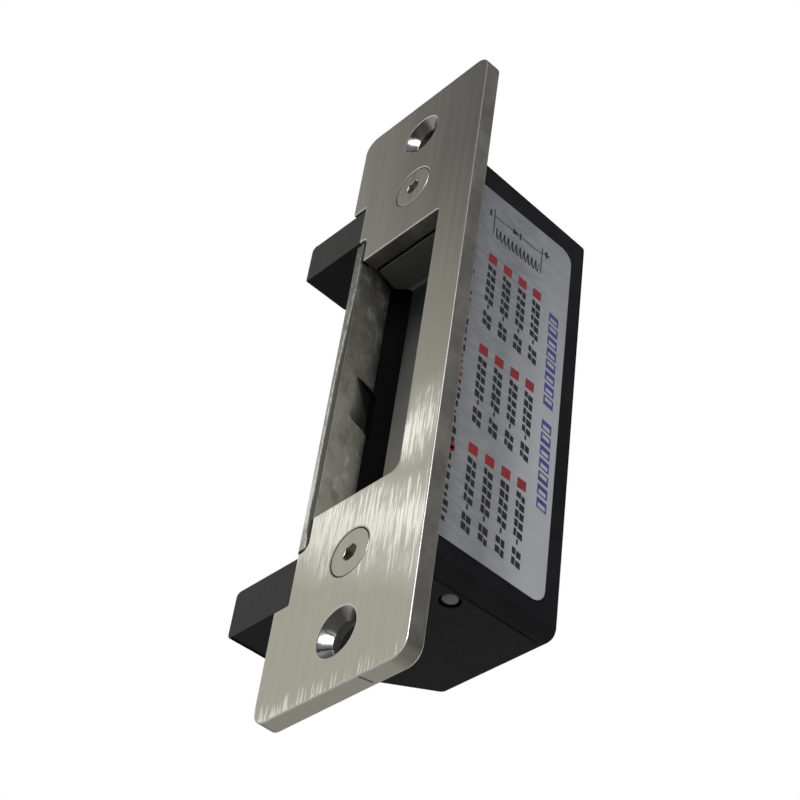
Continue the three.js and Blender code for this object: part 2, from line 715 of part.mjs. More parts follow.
function terminalBlock() {
  const { left, right, rear, low, high, zs, entryY } = TERMINAL;
  const body = box(left, right, BOARD.front + BOARD.thick + GAP, rear, low, high);
  const tools = zs.flatMap((z) => [
    rodX(entryY, z, 1.1, left - 1, right - 2, 12),
    rodY(terminalX, z, 1.5, 1.5, entryY, rear + 1, 16),
  ]);
  return cut(body, ...tools);
}

function terminalScrew(z) {
  const [end, face, r] = [TERMINAL.entryY + 1.3, TERMINAL.rear - 0.9, 1.2];
  const slot = box(terminalX - 2, terminalX + 2, face - 0.5, face + 1, z - 0.2, z + 0.2);
  return cut(rodY(terminalX, z, r, r, end, face, 16), slot);
}

function coilLead(x, boardX) {
  const { r, top, y, boardZ } = LEAD;
  const foot = BOARD.front + BOARD.thick + GAP + 0.1;
  const bend = [(x + boardX) / 2, y - 0.6, -19.5];
  const route = [[x, y, top], [x, y, -2], [x, y, -12], bend, [boardX, foot, boardZ]];
  return wire(route.map((p) => new THREE.Vector3(...p)), r, 22);
}

const terminalX = (TERMINAL.left + TERMINAL.right) / 2;
add("circuit_board", circuitBoard(), boardGreen);
add("board_screw", boardScrew(), zincSteel);
add("diode", diode(), blackPlastic);
add("terminal_block", terminalBlock(), blackPlastic);
TERMINAL.zs.forEach((z, i) => add(`terminal_screw_${i + 1}`, terminalScrew(z), zincSteel));
add("coil_lead_plus", coilLead(-3.9, -2.2), redWire);
add("coil_lead_minus", coilLead(-5.4, -5.4), blackWire);

export default group;
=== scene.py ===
"""The looks of the electric door strike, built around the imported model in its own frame."""
import math
import random

import bmesh
import bpy
from mathutils import Matrix, Vector


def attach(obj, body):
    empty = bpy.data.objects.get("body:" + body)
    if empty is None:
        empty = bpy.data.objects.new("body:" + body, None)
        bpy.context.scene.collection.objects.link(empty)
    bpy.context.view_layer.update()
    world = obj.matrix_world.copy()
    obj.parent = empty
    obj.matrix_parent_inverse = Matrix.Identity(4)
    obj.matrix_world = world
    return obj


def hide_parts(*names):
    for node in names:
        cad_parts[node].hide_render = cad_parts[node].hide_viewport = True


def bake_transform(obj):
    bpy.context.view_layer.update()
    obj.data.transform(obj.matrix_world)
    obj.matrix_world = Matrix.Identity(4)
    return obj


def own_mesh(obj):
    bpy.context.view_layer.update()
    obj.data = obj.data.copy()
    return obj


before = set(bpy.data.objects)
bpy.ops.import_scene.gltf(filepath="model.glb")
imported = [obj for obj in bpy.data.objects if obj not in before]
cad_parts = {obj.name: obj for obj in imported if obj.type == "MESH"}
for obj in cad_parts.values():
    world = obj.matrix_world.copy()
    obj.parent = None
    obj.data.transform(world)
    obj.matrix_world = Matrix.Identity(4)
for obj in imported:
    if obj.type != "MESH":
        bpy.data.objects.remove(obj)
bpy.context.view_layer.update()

MM = 0.001  # shapes and places are written in millimetres and scaled where they are used
CASING, KEEPER, LEVER = "casing_body", "keeper_body", "lever_body"
scene = bpy.context.scene

# Faceplate: half its width and length, its thickness and corner radius, and its holes. The notches
# beside the ears run from NOTCH_IN out to NOTCH_OUT, and the aperture is open towards the keeper.
PLATE_HALF_W, PLATE_HALF_L, PLATE_T, PLATE_R = 15.5, 62.0, 3.0, 2.8
MOUNT_X, MOUNT_Z, SCREW_X, SCREW_Z = 0.15, 52.4, 0.1, 38.8
NOTCH_X, NOTCH_OUT, NOTCH_IN = -12.3, 42.6, 33.5
APERTURE_X, APERTURE_Z, SINK_R, MOUNT_SINK_Y = 8.2, 27.6, 4.1, 1.7

# Casing: DRAFT is how far each end face leans in over one millimetre of depth, and SLOPE is the
# same for the slanted side. The trough is the room that the keeper turns in.
CASE_RIGHT, CASE_FRONT, CASE_REAR, CASE_TOP = 11.0, 0.3, 31.0, 42.35
EAR_TIP, EAR_ROOT, EAR_REAR, EAR_IN = -26.8, -12.6, 9.5, 33.8
SLANT_X, PLATE_BACK, TROUGH = -11.5, 3.3, 17.2
POCKET_LEFT, POCKET_RIGHT, POCKET_FLOOR, POCKET_Z = -8.4, 9, 10.0, 27.3
DRAFT = 1.0 / 30.7
SLOPE = (SLANT_X - EAR_TIP) / (CASE_REAR - EAR_REAR)

# The keeper's and the lock lever's pins, the cover with its screws, and the cable's grommet.
PIN_X, PIN_Y, PIN_BORE, LOCK_X, LOCK_Y = -12.2, 13.6, 1.8, 6.3, 14.2
COVER_LEFT, COVER_RIGHT, COVER_FRONT, COVER_END = -10, 9.3, 29.5, 39.6
COVER_X, COVER_Z, GROMMET_X, GROMMET_Z = 6.3, 36.7, -5.6, -25

# Label: the outer face it lies on, its sheet's thickness, and how far its print sits askew.
LABEL_X, SHEET, PRINT_TILT = 11.05, 0.15, 0.0155


# ---------- camera, light and floor ----------

def add_camera():
    data = bpy.data.cameras.new("camera")
    data.lens, data.sensor_width = 80.87, 36
    data.clip_start, data.clip_end = 0.01, 20
    camera = bpy.data.objects.new("camera", data)
    place = Vector((163.95, -120.31, -189.57)) * MM
    right = Vector((0.6820, 0.7217, 0.1182))
    down = Vector((-0.4254, 0.5230, -0.7386))
    forward = Vector((-0.5949, 0.4535, 0.6637))
    turn = Matrix((right, -down, -forward)).transposed().to_4x4()
    camera.matrix_world = Matrix.Translation(place) @ turn
    scene.collection.objects.link(camera)
    scene.camera = camera


def add_area(name, place, target, size, power):
    data = bpy.data.lights.new(name, "AREA")
    data.shape, data.size, data.size_y = "RECTANGLE", size[0], size[1]
    data.energy = power
    light = bpy.data.objects.new(name, data)
    light.location = place
    light.rotation_mode = "QUATERNION"
    light.rotation_quaternion = (Vector(target) - Vector(place)).to_track_quat("-Z", "Y")
    scene.collection.objects.link(light)


def add_world():
    """White where the camera sees it, and a dim cool light for everything else."""
    world = bpy.data.worlds.new("studio")
    world.use_nodes = True
    scene.world = world
    tree = world.node_tree
    tree.nodes.clear()
    out = tree.nodes.new("ShaderNodeOutputWorld")
    mix = tree.nodes.new("ShaderNodeMixShader")
    path = tree.nodes.new("ShaderNodeLightPath")
    seen = tree.nodes.new("ShaderNodeBackground")
    lit = tree.nodes.new("ShaderNodeBackground")
    seen.inputs["Color"].default_value = (1, 1, 1, 1)
    lit.inputs["Color"].default_value = (0.97, 0.98, 1, 1)
    lit.inputs["Strength"].default_value = 0.2
    tree.links.new(path.outputs["Is Camera Ray"], mix.inputs["Fac"])
    tree.links.new(lit.outputs[0], mix.inputs[1])
    tree.links.new(seen.outputs[0], mix.inputs[2])
    tree.links.new(mix.outputs[0], out.inputs["Surface"])


def add_floor():
    """A pale floor, a little brighter to the camera so that it meets the white background softly."""
    mesh = bpy.data.meshes.new("floor")
    half, z = 3.0, -0.205
    corners = [(-half, -half, z), (half, -half, z), (half, half, z), (-half, half, z)]
    mesh.from_pydata(corners, [], [(0, 1, 2, 3)])
    floor = bpy.data.objects.new("floor", mesh)
    scene.collection.objects.link(floor)
    pale = Mat("pale_floor", (0.80, 0.80, 0.79), 0.8)
    grain = pale.noise(pale.coords(), 40, 3)
    pale.colour(pale.mix(grain, (0.78, 0.78, 0.77), (0.83, 0.83, 0.82)))
    seen = pale.tree.nodes.new("ShaderNodeLightPath").outputs["Is Camera Ray"]
    pale.shader.inputs["Emission Color"].default_value = (1, 1, 1, 1)
    pale.link(pale.times(seen, 0.3), pale.shader.inputs["Emission Strength"])
    mesh.materials.append(pale.m)


# ---------- materials ----------

class Mat:
    """A node material around one Principled shader. Its object coordinates are in metres."""

    def __init__(self, name, base, rough, metal=0.0, **sockets):
        self.m = bpy.data.materials.new(name)
        self.m.use_nodes = True
        self.tree = self.m.node_tree
        self.shader = self.tree.nodes["Principled BSDF"]
        self.shader.inputs["Base Color"].default_value = (*base, 1)
        self.shader.inputs["Roughness"].default_value = rough
        self.shader.inputs["Metallic"].default_value = metal
        for socket, value in sockets.items():
            self.shader.inputs[socket.replace("_", " ")].default_value = value
        self.place = self.tree.nodes.new("ShaderNodeTexCoord").outputs["Object"]

    def link(self, value, socket):
        if isinstance(value, bpy.types.NodeSocket):
            self.tree.links.new(value, socket)
        elif isinstance(value, tuple) and socket.type == "RGBA":
            socket.default_value = (*value, 1)
        else:
            socket.default_value = value

    def coords(self, scale=(1, 1, 1), shift=(0, 0, 0)):
        node = self.tree.nodes.new("ShaderNodeMapping")
        node.inputs["Scale"].default_value = scale
        node.inputs["Location"].default_value = shift
        self.tree.links.new(self.place, node.inputs["Vector"])
        return node.outputs[0]

    def noise(self, vector, scale, detail=2.0, rough=0.5):
        node = self.tree.nodes.new("ShaderNodeTexNoise")
        node.inputs["Scale"].default_value = scale
        node.inputs["Detail"].default_value = detail
        node.inputs["Roughness"].default_value = rough
        self.tree.links.new(vector, node.inputs["Vector"])
        return node.outputs["Fac"]

    def range(self, value, low, high, to_low=0.0, to_high=1.0):
        node = self.tree.nodes.new("ShaderNodeMapRange")
        for socket, v in zip(("From Min", "From Max", "To Min", "To Max"), (low, high, to_low, to_high)):
            node.inputs[socket].default_value = v
        self.link(value, node.inputs["Value"])
        return node.outputs["Result"]

    def ramp(self, place, start, end, to_start=0.0, to_end=1.0):
        """A range over a length or a place, with its start and end in millimetres."""
        return self.range(place, start * MM, end * MM, to_start, to_end)

    def math(self, operation, a, b=0.0):
        node = self.tree.nodes.new("ShaderNodeMath")
        node.operation = operation
        self.link(a, node.inputs[0])
        self.link(b, node.inputs[1])
        return node.outputs[0]

    def add(self, a, b):
        return self.math("ADD", a, b)

    def minus(self, a, b):
        return self.math("SUBTRACT", a, b)

    def times(self, a, b):
        return self.math("MULTIPLY", a, b)

    def swing(self, noise, width):
        """Noise moved to lie around nought and spread over a width."""
        return self.times(self.minus(noise, 0.5), width)

    def distance(self, place, centre):
        """How far a place lies from a centre, which is given in millimetres."""
        return self.math("ABSOLUTE", self.minus(place, centre * MM))

    def mix(self, factor, a, b):
        node = self.tree.nodes.new("ShaderNodeMix")
        node.data_type = "RGBA"
        self.link(factor, node.inputs["Factor"])
        self.link(a, node.inputs[6])
        self.link(b, node.inputs[7])
        return node.outputs[2]

    def axis(self, name):
        node = self.tree.nodes.new("ShaderNodeSeparateXYZ")
        self.tree.links.new(self.place, node.inputs[0])
        return node.outputs[name]

    def bump(self, height, strength, depth):
        """Relief in the normal, its depth in millimetres."""
        node = self.tree.nodes.new("ShaderNodeBump")
        node.inputs["Strength"].default_value = strength
        node.inputs["Distance"].default_value = depth * MM
        self.tree.links.new(height, node.inputs["Height"])
        self.tree.links.new(node.outputs[0], self.shader.inputs["Normal"])

    def colour(self, value):
        self.link(value, self.shader.inputs["Base Color"])

    def colour_so_far(self):
        return self.shader.inputs["Base Color"].links[0].from_socket

    def rough(self, value):
        self.link(value, self.shader.inputs["Roughness"])


def brushed(name, dark, pale, rough, along="Z", streaks=0.5, metal=1.0):
    """Metal with fine grain along one axis, broader streaks and a few worn bright ones."""
    m = Mat(name, pale, rough, metal)
    fine, long = 5200, 70
    stretch = {"Z": (fine, fine, long), "X": (long, fine, fine), "Y": (fine, long, fine)}[along]
    grain = m.noise(m.coords(stretch), 1.0, 3, 0.6)
    broad = m.noise(m.coords(tuple(v / 6 for v in stretch), (3, 5, 7)), 1.0, 2)
    patch = m.noise(m.coords(shift=(0.3, 0.1, 0.2)), 75, 2)
    tone = m.add(m.times(grain, 0.55), m.times(broad, 0.45))
    base = m.mix(m.range(tone, 0.3, 0.7), dark, pale)
    worn = m.times(m.range(grain, 0.56, 0.7), m.range(patch, 0.45, 0.65))
    bright = tuple(min(1, v * 1.35) for v in pale)
    m.colour(m.mix(m.times(worn, streaks), base, bright))
    m.rough(m.add(m.range(broad, 0.3, 0.7, rough - 0.06, rough + 0.08), m.times(worn, -0.1)))
    m.bump(tone, 0.35, 0.02)
    return m


def cast(name, dark, pale, rough, metal=0.0, grain=2600, strength=0.35, specular=0.5):
    """A cast or coated surface: fine pitted grain over slow tone changes."""
    m = Mat(name, pale, rough, metal, Specular_IOR_Level=specular)
    fine = m.noise(m.coords(), grain, 3, 0.6)
    slow = m.noise(m.coords(shift=(0.2, 0.4, 0.1)), 140, 3, 0.55)
    m.colour(m.mix(m.range(slow, 0.35, 0.65), dark, pale))
    pitted = m.range(fine, 0.3, 0.7, rough - 0.07, rough + 0.07)
    m.rough(m.add(pitted, m.range(slow, 0.3, 0.7, -0.05, 0.05)))
    m.bump(m.add(fine, m.times(slow, 0.6)), strength, 0.03)
    return m


def moulded(name, base, rough):
    """Plastic, rubber or ink: one colour, slightly clouded, with a fine grain."""
    m = Mat(name, base, rough)
    fine = m.noise(m.coords(), 1800, 2)
    slow = m.noise(m.coords(), 120, 2)
    m.colour(m.mix(slow, tuple(v * 0.86 for v in base), tuple(min(1, v * 1.12) for v in base)))
    m.rough(m.range(fine, 0.3, 0.7, rough - 0.06, rough + 0.06))
    m.bump(fine, 0.2, 0.02)
    return m


def faceplate_material():
    """Brushed along Z, warm and even, with a painted highlight in bright spikes over a slanted band and the
    bottom rim, painted shade over the top and painted light on its upper left corner.
    """
    dark, pale, shaded = (0.53, 0.505, 0.415), (0.59, 0.565, 0.468), (0.372, 0.352, 0.318)
    lit_corner, glowing, highlight_white = (0.66, 0.615, 0.55), (0.87, 0.855, 0.74), (1.0, 0.985, 0.875)
    band_z, band_lean, branch_z = -33.5, 0.45, -21.5  # the branch climbs the bar beside the aperture
    m = Mat("brushed_faceplate", (0.58, 0.545, 0.465), 0.34, 1.0)
    grain = m.noise(m.coords((4200, 4200, 55)), 1.0, 2, 0.55)
    broad = m.noise(m.coords((900, 900, 14), (3, 5, 7)), 1.0, 2)
    spikes = m.noise(m.coords((2500, 2500, 110), (1, 2, 9)), 1.0, 3, 0.6)
    cloud = m.noise(m.coords(shift=(0.4, 0.2, 0.9)), 90, 3, 0.6)
    z, x = m.axis("Z"), m.axis("X")
    drift = m.swing(cloud, 16 * MM)
    # Painted highlight: a lamp's reflection in a slanted band, with a branch up the bar beside the aperture
    # and a strip along the bottom rim.
    below = m.add(m.distance(m.add(z, m.times(x, band_lean)), band_z), drift)
    beside = m.add(m.distance(z, branch_z), drift)
    away = m.math("MINIMUM", below, m.add(beside, m.ramp(x, 6, 9, 20 * MM, 1 * MM)))
    band = m.ramp(away, 2, 9.5, 1.0, 0.0)
    glow = m.ramp(away, 1, 11.5, 1.0, 0.0)
    rim = m.times(m.ramp(z, -61.5, -58.5, 1.0, 0.0), m.ramp(x, -12, 4, 1.0, 0.4))
    inside = m.math("MAXIMUM", band, rim)
    # The bright spikes of the painted highlight, along the grain.
    highlight_spikes = m.range(m.add(spikes, m.times(inside, 0.17)), 0.60, 0.68)
    highlight_spikes = m.times(highlight_spikes, m.range(inside, 0.0, 0.3))
    tone = m.add(m.times(grain, 0.5), m.times(broad, 0.5))
    base = m.mix(m.range(tone, 0.35, 0.65), dark, pale)
    # Painted shade over the top, deepening towards +X, and painted light on the upper left corner.
    base = m.mix(m.times(m.ramp(z, 8, 40), m.ramp(x, -9, PLATE_HALF_W)), base, shaded)
    base = m.mix(m.times(m.ramp(z, 20, 45), m.ramp(x, -15, -4, 1.0, 0.0)), base, lit_corner)
    # A soft painted glow around the highlight, then its bright spikes over it.
    base = m.mix(m.times(glow, 0.8), base, glowing)
    m.colour(m.mix(highlight_spikes, base, highlight_white))
    smooth = m.add(m.times(highlight_spikes, -0.12), m.times(glow, -0.05))
    m.rough(m.add(m.range(broad, 0.3, 0.7, 0.31, 0.37), smooth))
    m.bump(tone, 0.07, 0.02)
    return m


def side_material():
    """The faceplate's sheared sides: duller than its front, paler across the bottom, with painted shade on
    the rounded bottom corner and a small nick.
    """
    pale_bottom, shaded, in_nick = (0.54, 0.52, 0.44), (0.2, 0.19, 0.165), (0.05, 0.045, 0.04)
    nick_x, nick_lean = 6.3, -0.25
    m = cast("sheared_faceplate_side", (0.36, 0.345, 0.305), (0.44, 0.425, 0.38), 0.4, 1.0, 900, 0.12)
    x, y, z = m.axis("X"), m.axis("Y"), m.axis("Z")
    bottom = m.ramp(z, -60.5, -61.8)
    base = m.mix(bottom, m.colour_so_far(), pale_bottom)
    # Painted shade on the rounded corner at the bottom right.
    curve = m.times(m.ramp(z, -57, -60), m.ramp(x, 11.8, 14.2))
    base = m.mix(m.times(curve, 0.8), base, shaded)
    aside = m.distance(m.add(x, m.times(y, nick_lean)), nick_x)
    nick = m.times(m.ramp(aside, 0.12, 0.3, 0.8, 0.0), m.ramp(y, 2.6, 2.2))
    m.colour(m.mix(m.times(bottom, nick), base, in_nick))
    return m


def front_material():
    """The ears' front faces, rubbed a little paler than the rest of the casing, the upper one more."""
    dark, pale, bare = (0.016, 0.0165, 0.0155), (0.026, 0.026, 0.024), (0.042, 0.041, 0.037)
    m = cast("worn_casing_front", dark, pale, 0.5, strength=0.2, specular=0.3)
    base = m.colour_so_far()
    rubbed = m.noise(m.coords((1, 0.3, 1), (0.3, 0.8, 0.1)), 260, 3, 0.65)
    upper = m.times(m.ramp(m.axis("Z"), 0, 30), m.range(rubbed, 0.3, 0.65, 0.35, 0.9))
    m.colour(m.mix(upper, base, bare))
    return m


def cone_material():
    """Turned countersinks with painted reflections, toned in dark and bright sectors by the angle about their
    hole's axis, in degrees.
    """
    # Painted reflections, one colour to each sector.
    sectors = [  # start, full from, full to, end, colour
        (-108, -86, -36, -24, (0.10, 0.095, 0.085)),
        (18, 21, 27, 30, (0.16, 0.155, 0.145)),
        (28, 31, 44, 48, (0.98, 0.98, 0.96)),
    ]
    m = brushed("countersink_steel", (0.5, 0.5, 0.49), (0.62, 0.62, 0.61), 0.2, "Y", 0.3)
    base = m.colour_so_far()
    x, z = m.axis("X"), m.axis("Z")
    hole_z = m.times(m.math("SIGN", z), MOUNT_Z * MM)
    across, down = m.minus(MOUNT_X * MM, x), m.minus(hole_z, z)
    turn = m.times(m.math("ARCTAN2", down, across), 180 / math.pi)
    wobble = m.noise(m.coords(shift=(0.6, 0.2, 0.3)), 700, 2)
    turn = m.add(turn, m.swing(wobble, 14))
    # A darker painted reflection at angles below about -90 degrees.
    base = m.mix(m.range(turn, -95, -80, 0.8, 0.0), base, (0.26, 0.255, 0.25))
    for start, full_from, full_to, end, colour in sectors:
        inside = m.times(m.range(turn, start, full_from), m.range(turn, full_to, end, 1.0, 0.0))
        base = m.mix(inside, base, colour)
    m.colour(base)
    return m


def shadow_line(m):
    """Where the keeper's front edge runs close beside the faceplate, above and below the aperture."""
    ends = m.ramp(m.math("ABSOLUTE", m.axis("Z")), 27.3, 27.7)
    ends = m.times(ends, m.ramp(m.axis("Y"), 1.8, 1.2))
    return m.times(ends, m.ramp(m.axis("X"), -11.2, -11.0))


def strip_material():
    """The keeper's ground front: dark along its inner half, worn bright outside that, brightest low down
    where a painted highlight joins the wear, with painted shadow beside the faceplate and on its lower end.
    """
    dark, pale = (0.085, 0.084, 0.072), (0.135, 0.133, 0.115)
    dull, bright = (0.02, 0.019, 0.016), (1.0, 0.975, 0.87)
    shadow, end = (0.03, 0.028, 0.024), (0.012, 0.011, 0.009)
    border_x = -11.9
    m = brushed("ground_keeper_strip", dark, pale, 0.36, "Z", 0.5)
    base = m.colour_so_far()
    x, z = m.axis("X"), m.axis("Z")
    chips = m.noise(m.coords(shift=(0.1, 0.3, 0.2)), 800, 3, 0.65)
    dents = m.noise(m.coords((1, 1, 0.4), (0.3, 0.1, 0.7)), 2300, 4, 0.7)
    across = m.add(x, m.swing(chips, 0.9 * MM))
    across = m.minus(across, m.ramp(z, 2, 21, 0.0, 0.9 * MM))
    across = m.minus(across, m.ramp(z, -29, -31.5, 0.0, 0.6 * MM))
    # Partly wear, partly painted light: darker towards the top, bright low down where the faceplate's painted
    # highlight band crosses the strip, and dipping just above the lower end.
    tone = m.add(m.ramp(z, 31, -14, 0.26, 0.62), m.ramp(z, -16, -22, 0.0, 0.45))
    tone = m.add(tone, m.ramp(z, -26.5, -29, 0.0, -0.5))
    tone = m.add(tone, m.swing(dents, 0.9))
    beads = m.ramp(m.distance(across, border_x), 0.1, 0.4, 0.5, 0.0)
    tone = m.add(tone, m.times(beads, m.range(chips, 0.4, 0.6)))
    worn = m.mix(m.range(tone, 0.0, 1.0), dull, bright)
    base = m.mix(m.ramp(across, border_x, border_x + 0.4, 1.0, 0.0), base, worn)
    # Painted shadow line beside the faceplate.
    base = m.mix(m.times(shadow_line(m), 0.9), base, shadow)
    # Painted shadow on the lower end.
    m.colour(m.mix(m.ramp(z, -32.55, -32.75), base, end))
    m.bump(m.add(chips, dents), 0.35, 0.06)
    return m


def keeper_material(name="cast_keeper", recess=False):
    """Bare cast metal: mottled and rubbed low down, with painted shade darker towards the top and the rear of
    its inner face, and painted black deep in the casing and along its front edge beside the faceplate.
    """
    dark, pale, rear_shade = (0.035, 0.034, 0.031), (0.27, 0.266, 0.222), (0.036, 0.036, 0.034)
    fleck, stain, scratch = (0.36, 0.355, 0.3), (0.05, 0.049, 0.045), (0.6, 0.59, 0.52)
    m = Mat(name, (0.3, 0.29, 0.25), 0.5, 0.15, Specular_IOR_Level=0.3)
    fine = m.noise(m.coords(), 2200, 3, 0.6)
    slow = m.noise(m.coords(shift=(0.2, 0.4, 0.1)), 130, 4, 0.6)
    wear = m.noise(m.coords((1, 1, 0.4), (0.7, 0.1, 0.5)), 520, 3, 0.65)
    mottle = m.noise(m.coords((1, 1, 0.7), (0.9, 0.5, 0.3)), 380, 4, 0.7)
    z, y = m.axis("Z"), m.axis("Y")
    drift = m.swing(slow, 0.7)
    # Painted shade: darker towards the top.
    base = m.mix(m.range(m.add(m.ramp(z, 31, -20), drift), 0.0, 1.0), dark, pale)
    # Painted shade towards the rear of the inner face, stronger high up.
    rear = m.add(m.ramp(y, 3.5, 8.5), m.times(drift, 0.6))
    rear = m.add(rear, m.ramp(z, -12, 20, -0.15, 0.3))
    base = m.mix(m.range(rear, 0.1, 1.0, 0.0, 0.8), base, rear_shade)
    base = m.mix(m.range(mottle, 0.5, 0.66, 0.0, 0.3), base, fleck)
    base = m.mix(m.range(mottle, 0.48, 0.34, 0.0, 0.45), base, stain)
    rub = m.times(m.range(wear, 0.6, 0.72), m.ramp(z, 5, -12, 0.0, 0.45))
    base = m.mix(rub, base, scratch)
    if recess:
        # Painted shade in the recess, deepening to the rear and low down, and darkest in a wedge under its
        # top wall.
        recess_shade = m.add(m.ramp(z, -1, -4.5, 0.0, 0.3), m.ramp(y, 3, 6.2, -0.1, 0.8))
        base = m.mix(m.range(recess_shade, 0.0, 1.0, 0.0, 0.9), base, (0.018, 0.018, 0.019))
        wedge_shadow = m.ramp(m.add(z, m.times(y, 0.95)), 5.8, 7.6)
        base = m.mix(wedge_shadow, base, (0.008, 0.008, 0.008))
    # Painted shadow: near-black deep in the casing and along the front edge beside the faceplate.
    deep_shadow = m.math("MAXIMUM", m.ramp(y, 7.9, 8.5), shadow_line(m))
    m.colour(m.mix(deep_shadow, base, (0.005, 0.005, 0.0055)))
    m.link(m.range(deep_shadow, 0.0, 1.0, 0.3, 0.0), m.shader.inputs["Specular IOR Level"])
    m.rough(m.add(m.range(fine, 0.3, 0.7, 0.42, 0.56), m.times(rub, -0.15)))
    m.bump(m.add(fine, slow), 0.4, 0.04)
    return m


def pocket_material():
    """The casing inside the aperture: satin and dark, paler towards the bottom, with painted light on its top
    wall.
    """
    high_colour, low_colour, top_wall_lit = (0.016, 0.017, 0.019), (0.235, 0.23, 0.208), (0.085, 0.084, 0.08)
    m = Mat("satin_pocket", (0.05, 0.05, 0.052), 0.4, 0.0, Specular_IOR_Level=0.6)
    fine = m.noise(m.coords(), 2000, 2)
    slow = m.noise(m.coords((1, 1, 0.5), (0.1, 0.7, 0.4)), 110, 3, 0.6)
    z = m.axis("Z")
    # Darker towards the top and paler towards the bottom.
    downward = m.add(m.ramp(z, 24, -16), m.swing(slow, 0.5))
    base = m.mix(m.range(downward, 0.1, 1.0), high_colour, low_colour)
    # Painted light on the pocket's top wall.
    m.colour(m.mix(m.ramp(z, 26.6, 27.1), base, top_wall_lit))
    m.rough(m.range(fine, 0.3, 0.7, 0.34, 0.46))
    m.bump(fine, 0.15, 0.03)
    return m


def film_material():
    """The label's silver film, with painted light: darker towards its top and its front; faint streaks across
    it.
    """
    front_dark, front_pale = (0.148, 0.152, 0.165), (0.19, 0.192, 0.202)
    rear_dark, rear_pale, sheen = (0.205, 0.212, 0.232), (0.345, 0.35, 0.372), (0.5, 0.51, 0.54)
    m = Mat("label_film", (0.3, 0.3, 0.32), 0.34)
    streak = m.noise(m.coords((1, 260, 900)), 1.0, 2)
    cloud = m.noise(m.coords(shift=(0.5, 0.2, 0.8)), 60, 3, 0.6)
    z, y = m.axis("Z"), m.axis("Y")
    drift = m.swing(cloud, 0.5)
    # Painted light: darker towards the top and towards the front.
    lit = m.range(m.add(m.ramp(z, 37, -6), drift), 0.0, 1.0)
    front = m.mix(lit, front_dark, front_pale)
    rear = m.mix(lit, rear_dark, rear_pale)
    base = m.mix(m.ramp(m.add(y, m.times(drift, 6 * MM)), 14.5, 23.5), front, rear)
    m.colour(m.mix(m.range(streak, 0.4, 0.7, 0.0, 0.14), base, sheen))
    m.rough(m.range(streak, 0.3, 0.7, 0.3, 0.38))
    m.bump(cloud, 0.08, 0.1)
    return m


MATS = {
    "plate": faceplate_material(),
    "plate_edge": brushed("faceplate_bright_edge", (0.60, 0.59, 0.57), (0.80, 0.79, 0.77), 0.28, "Z", 0.4),
    "plate_side": side_material(),
    "screw_face": brushed("countersunk_screw_face", (0.50, 0.475, 0.40), (0.60, 0.57, 0.49), 0.36, "Z", 0.15),
    "screw": brushed("turned_screw_steel", (0.52, 0.52, 0.50), (0.72, 0.71, 0.69), 0.3, "X", 0.3),
    "cone": cone_material(),
    "case": cast("black_cast_casing", (0.005, 0.005, 0.006), (0.009, 0.0091, 0.0105), 0.46,
                 strength=0.12, specular=0.15),
    "case_front": front_material(),
    "keeper": keeper_material(),
    "keeper_strip": strip_material(),
    "pocket": pocket_material(),
    "recess": keeper_material("keeper_recess", True),
    # Painted shade for the mounting holes' bores.
    "bore": cast("bore_in_shadow", (0.035, 0.032, 0.026), (0.085, 0.079, 0.066), 0.45, 0.4, 900, 0.2),
    # Painted shadow: near-black for gaps and faces that lie in shade.
    "painted_shadow": cast("shadow_line", (0.006, 0.006, 0.006), (0.012, 0.012, 0.011), 0.7,
                 strength=0.2, specular=0.1),
    "socket": cast("dark_socket", (0.30, 0.285, 0.25), (0.62, 0.59, 0.52), 0.34, 1.0, 1200, 0.4),
    "pin": cast("oxidised_pin", (0.15, 0.15, 0.155), (0.26, 0.26, 0.265), 0.45, 0.8, 1500, 0.2),
    "film": film_material(),
    "ink_dark": moulded("ink_dark", (0.012, 0.012, 0.014), 0.4),
    "ink_red": moulded("ink_red", (0.2, 0.018, 0.024), 0.4),
    "ink_blue": moulded("ink_blue", (0.05, 0.05, 0.19), 0.4),
    "zinc": cast("zinc_plate", (0.42, 0.44, 0.45), (0.6, 0.62, 0.63), 0.32, 1.0, 3000, 0.25),
    "spring": brushed("spring_wire", (0.3, 0.3, 0.31), (0.5, 0.5, 0.52), 0.28, "Z", 0.3),
    "rubber": moulded("grommet_rubber", (0.02, 0.02, 0.021), 0.62),
    "nylon": moulded("natural_nylon", (0.74, 0.70, 0.6), 0.5),
    "board": moulded("board_laminate", (0.03, 0.16, 0.06), 0.4),
    "plastic": moulded("black_plastic", (0.014, 0.014, 0.016), 0.45),
    "red": moulded("red_insulation", (0.42, 0.02, 0.02), 0.42),
    "black": moulded("black_insulation", (0.015, 0.015, 0.016), 0.42),
    "winding": brushed("wound_copper", (0.36, 0.14, 0.05), (0.62, 0.27, 0.11), 0.36, "X", 0.3, 0.9),
}


# ---------- mesh helpers, all in millimetres ----------

def arc(cx, cy, r, start, end, steps):
    angles = [math.radians(start + (end - start) * i / steps) for i in range(steps + 1)]
    return [(cx + r * math.cos(t), cy + r * math.sin(t)) for t in angles]


def along(axis, a, b, h):
    """A profile point (a, b) at height h along an axis: XY profiles rise along Z, XZ along Y, YZ along X."""
    return {"Z": (a, b, h), "Y": (a, h, b), "X": (h, a, b)}[axis]


def cleaned(name, mesh):
    """An object of the mesh, with its doubled points merged and its faces turned outwards."""
    bm = bmesh.new()
    bm.from_mesh(mesh)
    bmesh.ops.remove_doubles(bm, verts=bm.verts, dist=1e-5)
    bmesh.ops.recalc_face_normals(bm, faces=bm.faces)
    bm.to_mesh(mesh)
    bm.free()
    made = bpy.data.objects.new(name, mesh)
    scene.collection.objects.link(made)
    return made


def new_object(name, verts, faces):
    mesh = bpy.data.meshes.new(name)
    mesh.from_pydata(verts, [], faces)
    return cleaned(name, mesh)


